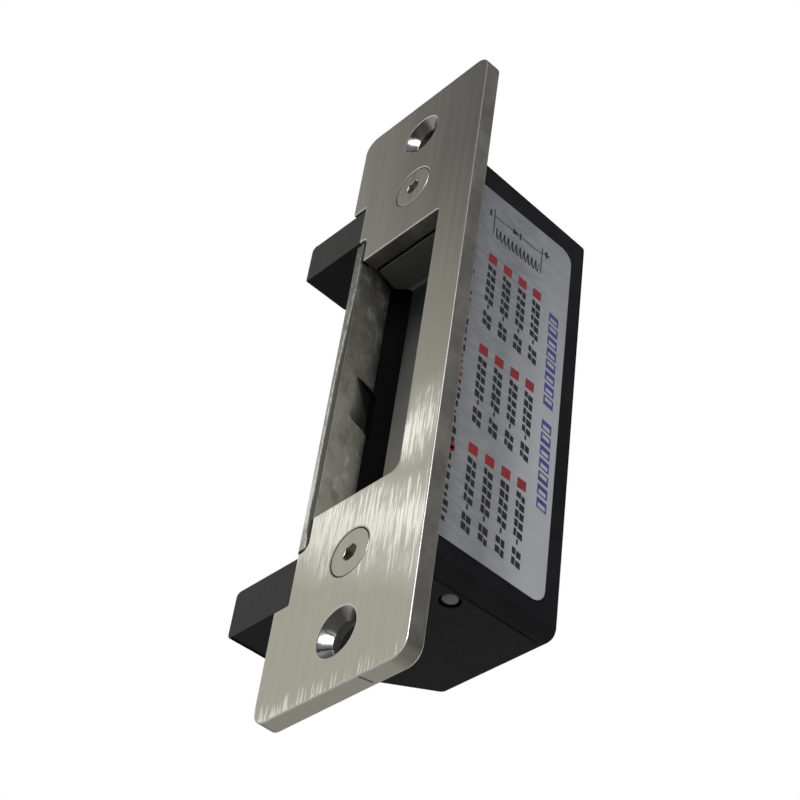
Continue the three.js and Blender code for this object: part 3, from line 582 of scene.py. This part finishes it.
def prism(axis, points, low, high):
    n = len(points)
    verts = [along(axis, a, b, low) for a, b in points] + [along(axis, a, b, high) for a, b in points]
    faces = [tuple(range(n)), tuple(range(2 * n - 1, n - 1, -1))]
    faces += [(i, (i + 1) % n, n + (i + 1) % n, n + i) for i in range(n)]
    return new_object("tool", verts, faces)


def block(x0, x1, y0, y1, z0, z1):
    return prism("Z", [(x0, y0), (x1, y0), (x1, y1), (x0, y1)], z0, z1)


def turned(axis, a, b, profile, steps=64):
    """A piece turned about an axis through (a, b). Its profile lists (radius, height) and may be a loop."""
    closed = profile[0] == profile[-1] and profile[0][0] > 0
    rows = profile[:-1] if closed else profile
    verts, faces = [], []
    for r, h in rows:
        for i in range(steps):
            t = 2 * math.pi * i / steps
            verts.append(along(axis, a + r * math.cos(t), b + r * math.sin(t), h))
    last = len(rows) if closed else len(rows) - 1
    for k in range(last):
        p, q = k * steps, ((k + 1) % len(rows)) * steps
        faces += [(p + i, p + (i + 1) % steps, q + (i + 1) % steps, q + i) for i in range(steps)]
    made = new_object("tool", verts, faces)
    if not closed:
        close_caps(made)
    return made


def close_caps(made):
    bm = bmesh.new()
    bm.from_mesh(made.data)
    bmesh.ops.dissolve_degenerate(bm, edges=bm.edges, dist=1e-6)
    bmesh.ops.holes_fill(bm, edges=[e for e in bm.edges if e.is_boundary])
    bmesh.ops.recalc_face_normals(bm, faces=bm.faces)
    bm.to_mesh(made.data)
    bm.free()


def rod(axis, a, b, r, low, high, steps=48):
    return turned(axis, a, b, [(r, low), (r, high)], steps)


def apply_modifiers(made):
    graph = bpy.context.evaluated_depsgraph_get()
    mesh = bpy.data.meshes.new_from_object(made.evaluated_get(graph))
    made.modifiers.clear()
    old = made.data
    made.data = mesh
    bpy.data.meshes.remove(old)


def boolean(made, tools, operation="DIFFERENCE"):
    """Cuts or joins the tools in turn, then merges the slivers that this leaves in flat faces."""
    for tool in tools:
        modifier = made.modifiers.new("cut", "BOOLEAN")
        modifier.operation, modifier.solver, modifier.object = operation, "MANIFOLD", tool
    apply_modifiers(made)
    for tool in tools:
        bpy.data.objects.remove(tool)
    if len(made.data.polygons) < 4:
        raise RuntimeError("the cut left nothing of " + made.name)
    bm = bmesh.new()
    bm.from_mesh(made.data)
    bmesh.ops.remove_doubles(bm, verts=bm.verts, dist=2e-4)
    bmesh.ops.dissolve_limit(bm, angle_limit=math.radians(0.3), verts=bm.verts, edges=bm.edges)
    bm.to_mesh(made.data)
    bm.free()


def finished(made, name, body, replaced, materials, bevel=0.15, angle=32, segments=3, edge_slot=0):
    """Bevels and smooths a millimetre piece, brings it to metres and hands it to the frame."""
    made.name = made.data.name = name
    made.data.materials.clear()
    for key in materials:
        made.data.materials.append(MATS[key].m)
    if bevel:
        modifier = made.modifiers.new("bevel", "BEVEL")
        modifier.width, modifier.segments = bevel, segments
        modifier.limit_method, modifier.angle_limit = "ANGLE", math.radians(angle)
        modifier.use_clamp_overlap = False
        modifier.material = edge_slot - 1 if edge_slot else -1
        modifier.miter_outer = "MITER_ARC"
        apply_modifiers(made)
    made.data.transform(Matrix.Scale(MM, 4))
    made.data.shade_smooth()
    made.data.set_sharp_from_angle(angle=math.radians(40))
    modifier = made.modifiers.new("normals", "WEIGHTED_NORMAL")
    modifier.keep_sharp = True
    apply_modifiers(made)
    if body:
        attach(made, body)
    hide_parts(*replaced)


def paint(made, materials, choose):
    """Gives faces the material that choose(centre in millimetres, normal) names, where it names one."""
    for face in made.data.polygons:
        key = choose(face.center / MM, face.normal)
        if key:
            face.material_index = materials.index(key)


# ---------- faceplate and its screws ----------

def faceplate_outline():
    cx, cz = PLATE_HALF_W - PLATE_R, PLATE_HALF_L - PLATE_R
    lip_x, lip_r, top_r, low_r = -10.2, 1.4, 0.7, 1.7
    points = arc(cx, -cz, PLATE_R, -90, 0, 16) + arc(cx, cz, PLATE_R, 0, 90, 16)
    points += arc(-cx, cz, PLATE_R, 90, 180, 16)
    points += [(-PLATE_HALF_W, NOTCH_OUT), (NOTCH_X, NOTCH_OUT), (NOTCH_X, NOTCH_IN)]
    points += arc(lip_x - lip_r, NOTCH_IN - lip_r, lip_r, 90, 0, 8) + [(lip_x, APERTURE_Z)]
    points += arc(APERTURE_X - top_r, APERTURE_Z - top_r, top_r, 90, 0, 6)
    points += arc(APERTURE_X - low_r, low_r - APERTURE_Z, low_r, 0, -90, 10)
    points += [(lip_x, -APERTURE_Z)] + arc(lip_x - lip_r, lip_r - NOTCH_IN, lip_r, 0, -90, 8)
    points += [(NOTCH_X, -NOTCH_IN), (NOTCH_X, -NOTCH_OUT), (-PLATE_HALF_W, -NOTCH_OUT)]
    points += arc(-cx, -cz, PLATE_R, 180, 270, 16)
    return points


def faceplate_paint(c, n):
    wall = abs(n.y) < 0.98
    from_screw = math.hypot(c.x - SCREW_X, abs(c.z) - SCREW_Z)
    from_mount = math.hypot(c.x - MOUNT_X, abs(c.z) - MOUNT_Z)
    # Painted shadow on the walls around each case screw's countersink.
    if wall and from_screw < SINK_R + 0.5 and 0.1 < c.y < PLATE_T - 0.1:
        return "painted_shadow"
    # Painted shade in the mounting holes' bores.
    if wall and from_mount < SINK_R - 0.05:
        return "bore" if c.y > MOUNT_SINK_Y + 0.05 else "cone"
    if abs(n.y) < 0.1 and 0.3 < c.y < PLATE_T - 0.3:
        return "plate_side"
    return None


def faceplate():
    materials = ["plate", "plate_edge", "cone", "plate_side", "painted_shadow", "bore"]
    made = prism("Y", faceplate_outline(), 0, PLATE_T)
    before, front, behind, mount_r, screw_r = -1, -0.02, PLATE_T + 1, 2.45, 2.3
    mount = [(mount_r, behind), (mount_r, MOUNT_SINK_Y), (SINK_R, front), (SINK_R, before)]
    screw = [(screw_r, behind), (screw_r, 2.3), (SINK_R + 0.02, front), (SINK_R + 0.02, before)]
    tools = []
    for side in (-1, 1):
        tools.append(turned("Y", MOUNT_X, side * MOUNT_Z, mount, 96))
        tools.append(turned("Y", SCREW_X, side * SCREW_Z, screw, 96))
    boolean(made, tools)
    finished(made, "faceplate_brushed", CASING, ["faceplate"], materials, 0.2, 30, 3, 2)
    paint(made, materials, faceplate_paint)


def case_screw(side, name):
    """A flat-head screw with a hexagon socket, whose mouth is a shallow cone."""
    x, z, face, flats = SCREW_X, side * SCREW_Z, 0.05, 2.5
    profile = [(0.0, face), (3.82, face), (3.93, face + 0.1)]
    profile += [(2.0, 2.1), (2.0, 12.2), (1.4, 13.0), (0.0, 13.0)]
    made = turned("Y", x, z, profile, 96)
    socket = prism("Y", arc(x, z, flats / math.sqrt(3), 15, 315, 5), -1, 1.75)
    mouth = [(0.0, 0.3), (1.15, 0.24), (1.48, 0.0), (1.48, -0.2), (0, -0.2)]
    boolean(made, [socket, turned("Y", x, z, mouth)])
    materials = ["screw_face", "socket"]
    finished(made, name + "_turned", CASING, [name], materials, 0.05, 35, 2)

    def inside(c, n):
        return "socket" if math.hypot(c.x - x, c.z - z) < 1.7 and c.y > face + 0.2 else None

    paint(made, materials, inside)


# ---------- casing ----------

def end_face(y):
    return CASE_TOP - (y - CASE_FRONT) * DRAFT


def slant_x(y):
    return SLANT_X - (CASE_REAR - y) * SLOPE


def rounded(points, radii, steps=6):
    """A closed outline with each corner rounded to its radius; 0 leaves it sharp."""
    out, n = [], len(points)
    for i, (p, r) in enumerate(zip(points, radii)):
        if r == 0:
            out.append(p)
            continue
        p = Vector(p)
        a = (Vector(points[i - 1]) - p).normalized()
        b = (Vector(points[(i + 1) % n]) - p).normalized()
        half = a.angle(b) / 2
        centre = p + (a + b).normalized() * (r / math.sin(half))
        start, end = p + a * (r / math.tan(half)) - centre, p + b * (r / math.tan(half)) - centre
        turn = start.angle_signed(end)
        for k in range(steps + 1):
            t = -turn * k / steps
            out.append(tuple(centre + Matrix.Rotation(t, 2) @ start))
    return out


def end_block(side):
    outline = [(EAR_TIP, CASE_FRONT), (EAR_ROOT, CASE_FRONT), (EAR_ROOT, PLATE_BACK),
               (CASE_RIGHT, PLATE_BACK), (CASE_RIGHT, CASE_REAR), (SLANT_X, CASE_REAR), (EAR_TIP, EAR_REAR)]
    outline = rounded(outline, [0, 0, 0, 0, 0.3, 0.4, 1.4])
    low, high = (EAR_IN, 43.5) if side > 0 else (-43.5, -EAR_IN)
    return prism("Z", outline, low, high)


def middle_block():
    outline = [(-9.8, PLATE_BACK), (CASE_RIGHT, PLATE_BACK), (CASE_RIGHT, CASE_REAR), (SLANT_X, CASE_REAR),
               (slant_x(TROUGH), TROUGH), (POCKET_LEFT, TROUGH), (POCKET_LEFT, POCKET_FLOOR), (-10.8, 7.9)]
    outline = rounded(outline, [0, 0, 0.3, 0.4, 0, 0, 0, 0])
    return prism("Z", outline, -EAR_IN - 0.2, EAR_IN + 0.2)


def beyond_end(side):
    """What lies outside a drafted end face, with the face's run-out rounded into the rear face."""
    before, behind, far, r, bend_y = -2.0, 40, 60, 1.0, 29.4
    bend_z = end_face(bend_y)
    angles = [math.radians(a) for a in range(0, 91, 9)]
    rear = [(CASE_REAR - r + r * math.sin(t), bend_z - r + r * math.cos(t)) for t in angles]
    points = [(before, end_face(before))] + rear + [(behind, rear[-1][1]), (behind, far), (before, far)]
    return prism("X", [(y, side * z) for y, z in points], -40, 40)


def round_edge(x, z, sx, sz, r, side):
    """The waste outside a rounded edge that runs along Y, tilted with the drafted end face."""
    x_in, x_out, z_in, z_out = x - sx * r, x + sx * 2, z - sz * r, z + sz * 2
    waste = prism("Y", [(x_in, z_in), (x_out, z_in), (x_out, z_out), (x_in, z_out)], -6, 45)
    boolean(waste, [rod("Y", x_in, z_in, r, -8, 47, 96)])
    if side:
        tilt = Matrix.Rotation(-side * math.atan(DRAFT), 4, "X")
        waste.data.transform(Matrix.Translation((0, 0, z)) @ tilt @ Matrix.Translation((0, 0, -z)))
    return waste


def bay_outline():
    """The room for the works, a wall's thickness inside the slanted side."""
    wall, left, right, front, step, rear = 1.8, -6.9, 9, 11.4, 18.7, 29.9
    inner = slant_x(0) + wall * math.hypot(1, SLOPE)
    return [(left, front), (right, front), (right, rear), (inner + rear * SLOPE, rear),
            (inner + step * SLOPE, step), (left, step)]


def casing_paint(c, n):
    across = POCKET_LEFT - 0.2 < c.x < POCKET_RIGHT + 0.1
    if across and PLATE_BACK - 0.1 < c.y < POCKET_FLOOR + 0.05 and abs(c.z) < POCKET_Z + 0.2:
        return "pocket"
    if c.y < 1.0 and n.y < -0.7:
        return "case_front"
    return None


def casing():
    materials = ["case", "pocket", "case_front"]
    made = end_block(1)
    boolean(made, [end_block(-1), middle_block()], "UNION")
    corner = end_face(0)
    before, gap = -5, 0.3
    pocket = [(before, -POCKET_Z), (POCKET_FLOOR, -POCKET_Z), (POCKET_FLOOR, POCKET_Z), (before, POCKET_Z)]
    heel_window = [(PIN_X, PIN_Y - 2)] + arc(PIN_X, PIN_Y, 7.8, -14, 104, 24) + [(PIN_X - 1.9, PIN_Y + 1)]
    tools = [
        beyond_end(1),
        beyond_end(-1),
        round_edge(CASE_RIGHT, corner, 1, 1, 0.4, 1),
        round_edge(CASE_RIGHT, -corner, 1, -1, 2.4, -1),
        round_edge(EAR_TIP, corner, -1, 1, 0.9, 1),
        round_edge(EAR_TIP, -corner, -1, -1, 0.9, -1),
        round_edge(EAR_TIP, EAR_IN, -1, -1, 0.4, 0),
        round_edge(EAR_TIP, -EAR_IN, -1, 1, 0.9, 0),
        prism("X", rounded(pocket, [0, 0.8, 0.8, 0]), -40, POCKET_RIGHT),
        prism("Z", bay_outline(), -33.6, 33.6),
        prism("Z", heel_window, -13.6, -2.4),
        block(COVER_LEFT - gap, COVER_RIGHT + gap, COVER_FRONT - 0.1, 33, -COVER_END - gap, COVER_END + gap),
        rod("Z", PIN_X, PIN_Y, PIN_BORE, -50, 50),
        rod("Z", LOCK_X, LOCK_Y, 1.65, -50, 37.3),
    ]
    for side in (-1, 1):
        tools.append(rod("Y", SCREW_X, side * SCREW_Z, 2.3, 0, 14, 32))
        for x in (-COVER_X, COVER_X):
            tools.append(rod("Y", x, side * COVER_Z, 1.5, 23, 40, 24))
    boolean(made, tools)
    finished(made, "casing_cast", CASING, ["casing"], materials, 0.22, 34, 2)
    paint(made, materials, casing_paint)


# ---------- keeper ----------

def keeper_paint(c, n):
    recess_x = -10.66 - 0.19 * (c.y - 3.1)  # just beyond the inner face at this depth
    # Painted shadow on the keeper's lower end face.
    if c.z < -32.5 and n.z < -0.3:
        return "painted_shadow"
    if c.y < 0.6 and n.y < -0.3:
        return "keeper_strip"
    if -5.8 < c.z < 4.0 and 2.6 < c.y < 8.2 and -12.5 < c.x < recess_x and n.x > -0.3:
        return "recess"
    return None


def keeper():
    """A long lip around its pin, with a heel behind, a scalloped recess inside and room for its spring."""
    materials = ["keeper", "keeper_strip", "recess", "painted_shadow"]
    low, high, front, crease = -33.1, 32.8, 0.25, 2.1
    outline = [(-12.8, front), (-10.55, front), (-10.5, crease), (-10.58, 3.0), (-10.78, 4.9), (-11.1, 6.6)]
    outline += [(-11.45, 7.7), (-11.95, 8.2), (-12.4, 8.45)]
    outline += arc(PIN_X, PIN_Y, 3.0, -57, 205, 56) + [(-14.35, 9.2), (-13.75, 6.4), (-13.3, 3.9)]
    made = prism("Z", outline, low, high)
    heel_r, heel_half, root = 6.9, 1.3, PIN_Y + 1.5
    spread = math.degrees(math.asin(heel_half / heel_r))
    heel = arc(PIN_X, PIN_Y, heel_r, 90 - spread, 90 + spread, 8)
    heel += [(PIN_X - heel_half, root), (PIN_X + heel_half, root)]
    boolean(made, [prism("Z", heel, -12, -4)], "UNION")
    top, bend, bend_r, front_y, rear_y = 3.9, -2.1, 3.1, 1, 9
    scoop = [(front_y, top), (front_y, bend)] + arc(crease + bend_r, bend, bend_r, 180, 270, 16)
    scoop += [(rear_y, bend - bend_r - 0.1), (rear_y, top)]
    scoop = prism("X", scoop, -14, -8)
    depth = prism("Z", [(-10.1, crease + 0.1), (-9, crease + 0.1), (-9, rear_y), (-12.9, rear_y)], -8, 5)
    boolean(scoop, [depth], "INTERSECT")
    bore = rod("Z", PIN_X, PIN_Y, PIN_BORE, -40, 40)
    spring_room = rod("Z", PIN_X, PIN_Y, 3.3, -27.6, -16.4, 64)
    chamfer = prism("Y", [(-11.25, low - 0.1), (-10.4, low - 0.1), (-10.4, low + 0.75)], -1, rear_y)
    boolean(made, [scoop, bore, spring_room, chamfer])
    finished(made, "keeper_cast", KEEPER, ["keeper"], materials, 0.18, 30, 3)
    paint(made, materials, keeper_paint)


# ---------- rear cover, its screws and the cable's grommet ----------

def rear_cover():
    left, right, end = COVER_LEFT, COVER_RIGHT, COVER_END
    plan = rounded([(left, -end), (right, -end), (right, end), (left, end)], [0.6] * 4)
    made = prism("Y", plan, COVER_FRONT, CASE_REAR)
    boolean(made, [block(-1.5, 2.1, 24.7, 29.7, -17.3, -1.3)], "UNION")
    countersink = [(1.5, 27), (1.5, 29.95), (2.52, CASE_REAR + 0.01), (2.52, 33)]
    tools = [rod("Y", GROMMET_X, GROMMET_Z, 3.2, 28, 33)]
    for x in (-COVER_X, COVER_X):
        for z in (-COVER_Z, COVER_Z):
            tools.append(turned("Y", x, z, countersink))
    boolean(made, tools)
    finished(made, "rear_cover_cast", CASING, ["rear_cover"], ["case"], 0.12, 34, 2)


def cover_screw(index, x, z):
    """A countersunk screw whose cross recess is turned a little further on each."""
    face, shank, head = 30.95, 1.2, 2.15
    profile = [(0.0, 24.0), (0.9, 24.0), (shank, 24.4), (shank, 29.95), (head, face - 0.12),
               (head - 0.15, face), (0.0, face)]
    made = turned("Y", x, z, profile)
    turn = 20 + 37 * index
    tools = []
    for quarter in (0, 90):
        bar = block(-1.2, 1.2, face - 0.8, face + 1, -0.26, 0.26)
        spin = Matrix.Rotation(math.radians(turn + quarter), 4, "Y")
        bar.data.transform(Matrix.Translation((x, 0, z)) @ spin)
        tools.append(bar)
    boolean(made, tools)
    name = f"cover_screw_{index + 1}"
    finished(made, name + "_turned", CASING, [name], ["zinc"], 0.05, 35, 2)


def grommet():
    bore, groove, rim = 1.6, 2.9, 4.0
    profile = [(bore, 28.8), (1.9, 28.6), (3.8, 28.6), (rim, 28.8), (rim, 29.1), (3.8, 29.2)]
    profile += [(groove, 29.2), (groove, 31.3), (3.8, 31.3), (rim, 31.45), (3.85, 31.85), (3.5, 32.0)]
    profile += [(1.95, 32.0), (bore, 31.75), (bore, 28.8)]
    made = turned("Y", GROMMET_X, GROMMET_Z, profile)
    finished(made, "cable_grommet_moulded", CASING, ["cable_grommet"], ["rubber"], 0)


# ---------- pins and springs ----------

def pin(node, x, y, profile):
    made = turned("Z", x, y, profile)
    finished(made, node + "_turned", CASING, [node], ["pin"], 0)


def pins():
    keeper_pin = [(0, -41.7), (1.15, -41.7), (1.38, -41.6), (1.5, -41.35)]
    keeper_pin += [(r, -z) for r, z in reversed(keeper_pin)]
    pin("keeper_pin", PIN_X, PIN_Y, keeper_pin)
    lock_r, dome_z, dome_h = 1.35, -41.36, 0.54
    angles = [math.radians(a) for a in range(0, 91, 10)]
    dome = [(lock_r * math.sin(t), dome_z - dome_h * math.cos(t)) for t in angles]
    pin("lock_pin", LOCK_X, LOCK_Y, dome + [(lock_r, 36.7), (1.05, 37.0), (0, 37.0)])


def spring(node, points, r, body=None):
    """A bent wire through the points, as a mesh tube with closed ends."""
    name = node + "_wound"
    curve = bpy.data.curves.new(name, "CURVE")
    curve.dimensions, curve.bevel_depth, curve.bevel_resolution = "3D", r, 5
    curve.use_fill_caps, curve.resolution_u = True, 6
    spline = curve.splines.new("NURBS")
    spline.points.add(len(points) - 1)
    for p, at in zip(spline.points, points):
        p.co = (*at, 1)
    spline.order_u, spline.use_endpoint_u = 3, True
    tube = bpy.data.objects.new(name + "_curve", curve)
    scene.collection.objects.link(tube)
    mesh = bpy.data.meshes.new_from_object(tube.evaluated_get(bpy.context.evaluated_depsgraph_get()))
    bpy.data.objects.remove(tube)
    made = cleaned(name, mesh)
    finished(made, name, body, [node], ["spring"], 0)
    return made


def helix(x, y, r, low, high, start, turns, hand=1):
    per_turn = 24
    steps = round(turns * per_turn)
    points = []
    for i in range(steps + 1):
        t = math.radians(start) + hand * 2 * math.pi * i / per_turn
        points.append((x + r * math.cos(t), y + r * math.sin(t), low + (high - low) * i / steps))
    return points


def springs():
    """Two torsion springs, each between the casing and its moving piece, and the plunger's coil spring."""
    x, y, low, high = PIN_X, PIN_Y, -27, -17
    leg = [(x - 2.7, y - 1.1, high), (x - 3.25, y - 2.6, high), (x - 3.35, y - 3.7, high)]
    leg.append((x - 3.4, y - 4.75, high))
    hook = [(x + 3.15, y + 2.85, low), (x + 1.4, y + 2.5, low)]
    made = spring("keeper_spring", hook + helix(x, y, 2.25, low, high, 90, 8.25) + leg, 0.35)
    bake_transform(made)
    x, y, low, high = LOCK_X, LOCK_Y, -22, -15
    leg = [(x - 1.4, y - 2.0, -14.6), (x - 3.0, y - 1.75, -13.8), (x - 4.1, y - 1.2, -11.5)]
    leg.append((x - 4.4, y - 1, -10.1))
    hook = [(x + 2.1, y + 3.5, low), (x + 2.05, y + 1.6, low)]
    made = spring("lever_spring", hook + helix(x, y, 2, low, high, 0, 6.25, -1) + leg, 0.3)
    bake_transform(made)
    made = spring("plunger_spring", helix(0.3, 22.6, 2.87, 0.58, 7.42, 0, 6), 0.28, CASING)
    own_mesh(made)


# ---------- label ----------

def label_sheet():
    front, rear, low, high, r = 3.9, 27.85, -37, 36.8, 2.6
    plan = rounded([(front, low), (rear, low), (rear, high), (front, high)], [r] * 4, 12)
    made = prism("X", plan, LABEL_X, LABEL_X + SHEET - 0.015)
    finished(made, "label_film", CASING, ["label"], ["film"], 0.04, 40, 2)


class Print:
    """Flat ink shapes on the label, gathered into one piece per colour; all in y and z of the label."""

    def __init__(self):
        self.verts, self.faces = [], []

    def shape(self, points):
        top = LABEL_X + SHEET
        low = top - 0.025
        base, n = len(self.verts), len(points)
        area = sum(points[i - 1][0] * points[i][1] - points[i][0] * points[i - 1][1] for i in range(n))
        points = points if area > 0 else points[::-1]
        self.verts += [(low, y, z) for y, z in points] + [(top, y, z) for y, z in points]
        self.faces.append(tuple(base + i for i in range(n - 1, -1, -1)))
        self.faces.append(tuple(base + n + i for i in range(n)))
        self.faces += [(base + i, base + (i + 1) % n, base + n + (i + 1) % n, base + n + i) for i in range(n)]

    def bar(self, y0, y1, z0, z1, lean=0.0):
        """A rectangle whose rear side is pushed along Z by the lean, as italic print is."""
        self.shape([(y0, z0), (y1, z0 + lean), (y1, z1 + lean), (y0, z1)])

    def line(self, a, b, width):
        a, b = Vector(a), Vector(b)
        side = (b - a).orthogonal().normalized() * width / 2
        self.shape([tuple(a + side), tuple(a - side), tuple(b - side), tuple(b + side)])

    def piece(self, name, material):
        mesh = bpy.data.meshes.new(name)
        mesh.from_pydata(self.verts, [], self.faces)
        made = bpy.data.objects.new(name, mesh)
        scene.collection.objects.link(made)
        mesh.transform(Matrix.Scale(MM, 4))
        mesh.materials.append(MATS[material].m)
        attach(made, CASING)


def schematic(ink):
    """The usual sign of a coil with a diode across it, and a minus and a plus beside it."""
    left, right, low, wire_z, thin = 9.55, 20.9, 26.9, 31.5, 0.18
    ink.line((left, 33.2), (left + 0.15, low + 0.4), 0.2)
    ink.line((right, 33.0), (right, low), 0.2)
    ink.line((left, wire_z + 0.05), (13.9, wire_z), thin)
    ink.line((16.0, wire_z), (right, wire_z - 0.05), thin)
    ink.shape([(13.9, wire_z - 0.65), (13.9, wire_z + 0.65), (15.5, wire_z)])
    ink.bar(15.5, 15.85, wire_z - 0.75, wire_z + 0.75)
    loops, pitch = 11, 0.93
    for i in range(loops):
        y = left + 0.75 + i * pitch
        ink.line((y, 29.0), (y + 0.22, 27.05), 0.34)
        ink.line((y + 0.22, 27.05), (y + 0.55, 26.75), 0.26)
        ink.line((y + 0.55, 26.75), (y + pitch * 0.98, 28.9), 0.17)
    ink.bar(8.45, 8.85, 30.9, 32.3)
    ink.bar(21.75, 22.1, 31.2, 32.9)
    ink.bar(21.2, 22.65, 31.88, 32.22)


def title_box(ink, y, z, bold_first):
    """One blank box of the title: a thick and a thin upright joined by hairlines. It is no letter."""
    tall, wide, stem, hair, lean, overlap = 2.2, 1.95, 0.85, 0.3, -0.35, 0.02
    first, last = (stem, hair) if bold_first else (hair, stem)
    z_end = z - wide
    low, high = z_end + last - overlap, z - first + overlap
    ink.bar(y, y + tall, z - first, z, lean)
    ink.bar(y, y + tall, z_end, z_end + last, lean)
    ink.bar(y, y + hair, low, high)
    ink.bar(y + tall - hair, y + tall, low + lean, high + lean)


def code_line(ink, y, z, seed):
    """A blank entry beside a red box: paired blocks at the pitch of print, with a dash near the end."""
    rng = random.Random(seed)
    blocks, dash, pitch, tall, wide, lean, gap = 8, 5, 1.72, 1.85, 1.38, -0.3, 0.14
    for i in range(blocks):
        at = z - i * pitch
        low = y + i * pitch * PRINT_TILT
        if i == dash:
            ink.bar(low + 0.7, low + 1.05, at - 1.05, at - 0.1)
            continue
        split = rng.uniform(0.55, 1.0)
        in_low, in_high = rng.uniform(0, 0.3), rng.uniform(0, 0.3)
        lean_low = lean * split / tall
        lean_high = lean * (1 - split / tall)
        ink.bar(low, low + split, at - wide + in_low, at, lean_low)
        ink.bar(low + split + gap, low + tall, at - wide + lean_low, at - in_high + lean_low, lean_high)


def prints():
    dark, red, blue = Print(), Print(), Print()
    schematic(dark)
    first_z, half_box = 21.6, 0.95
    for g, z in enumerate((first_z, 1.5, -18.5)):
        for r, y in enumerate((10.3, 13.75, 17.2, 20.6)):
            at = y + (first_z - z) * PRINT_TILT
            red.bar(at - half_box, at + half_box, z - half_box, z + half_box)
            code_line(dark, at - 0.87, z - 1.6, 10 * g + r)
    boxes, space, title_y, title_z, title_pitch, title_tilt = 16, 8, 23.75, 20.0, 2.57, 0.02
    for i in range(boxes):
        if i != space:
            z = title_z - i * title_pitch
            title_box(blue, title_y + (title_z - z) * title_tilt, z, i % 3 != 1)
    rng = random.Random(5)
    z, end_z, column_y = 22.0, -34, 6.15
    while z > end_z:
        size = rng.uniform(0.5, 1.3)
        edge = column_y + (first_z - z) * PRINT_TILT
        ink = red if -6.4 < z < -4.2 else dark
        ink.bar(edge - 1.1, edge + rng.uniform(0.1, 0.5), z - size, z, -0.2)
        z -= size + rng.uniform(0.5, 1.0)
    red.shape(arc(6.3, -20.6, 1.15, 0, 345, 23))
    dark.piece("label_print_dark", "ink_dark")
    red.piece("label_print_red", "ink_red")
    blue.piece("label_print_blue", "ink_blue")


# ---------- build ----------

faceplate()
case_screw(1, "case_screw_upper")
case_screw(-1, "case_screw_lower")
casing()
keeper()
rear_cover()
cover_holes = [(x, z) for z in (COVER_Z, -COVER_Z) for x in (-COVER_X, COVER_X)]
for i, (hole_x, hole_z) in enumerate(cover_holes):
    cover_screw(i, hole_x, hole_z)
grommet()
pins()
springs()
label_sheet()
prints()

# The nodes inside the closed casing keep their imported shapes; those not named here are zinc plated.
NODE_MATS = {
    "bobbin": "nylon", "spring_collar": "nylon", "coil_winding": "winding", "circuit_board": "board",
    "diode": "plastic", "terminal_block": "plastic", "coil_lead_plus": "red", "coil_lead_minus": "black",
    "coil_screw_1": "screw", "coil_screw_2": "screw",
}
for node_name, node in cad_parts.items():
    node.data.materials.clear()
    node.data.materials.append(MATS[NODE_MATS.get(node_name, "zinc")].m)

add_camera()
add_world()
add_floor()
add_area("front_panel", (-0.79, -0.59, 0.28), (0, 0, 0), (1.5, 1.0), 2.1)
add_area("glint_lamp", (-0.615, -0.455, 0.62), (0, 0, -0.03), (0.25, 0.12), 0.03)
add_area("side_fill", (0.75, -0.55, 0.3), (0, 0, 0), (0.7, 0.6), 7.5)
add_area("back_fill", (-0.3, 1.0, 0.35), (0, 0, 0), (0.7, 0.6), 2.2)
scene.view_settings.view_transform = "Standard"
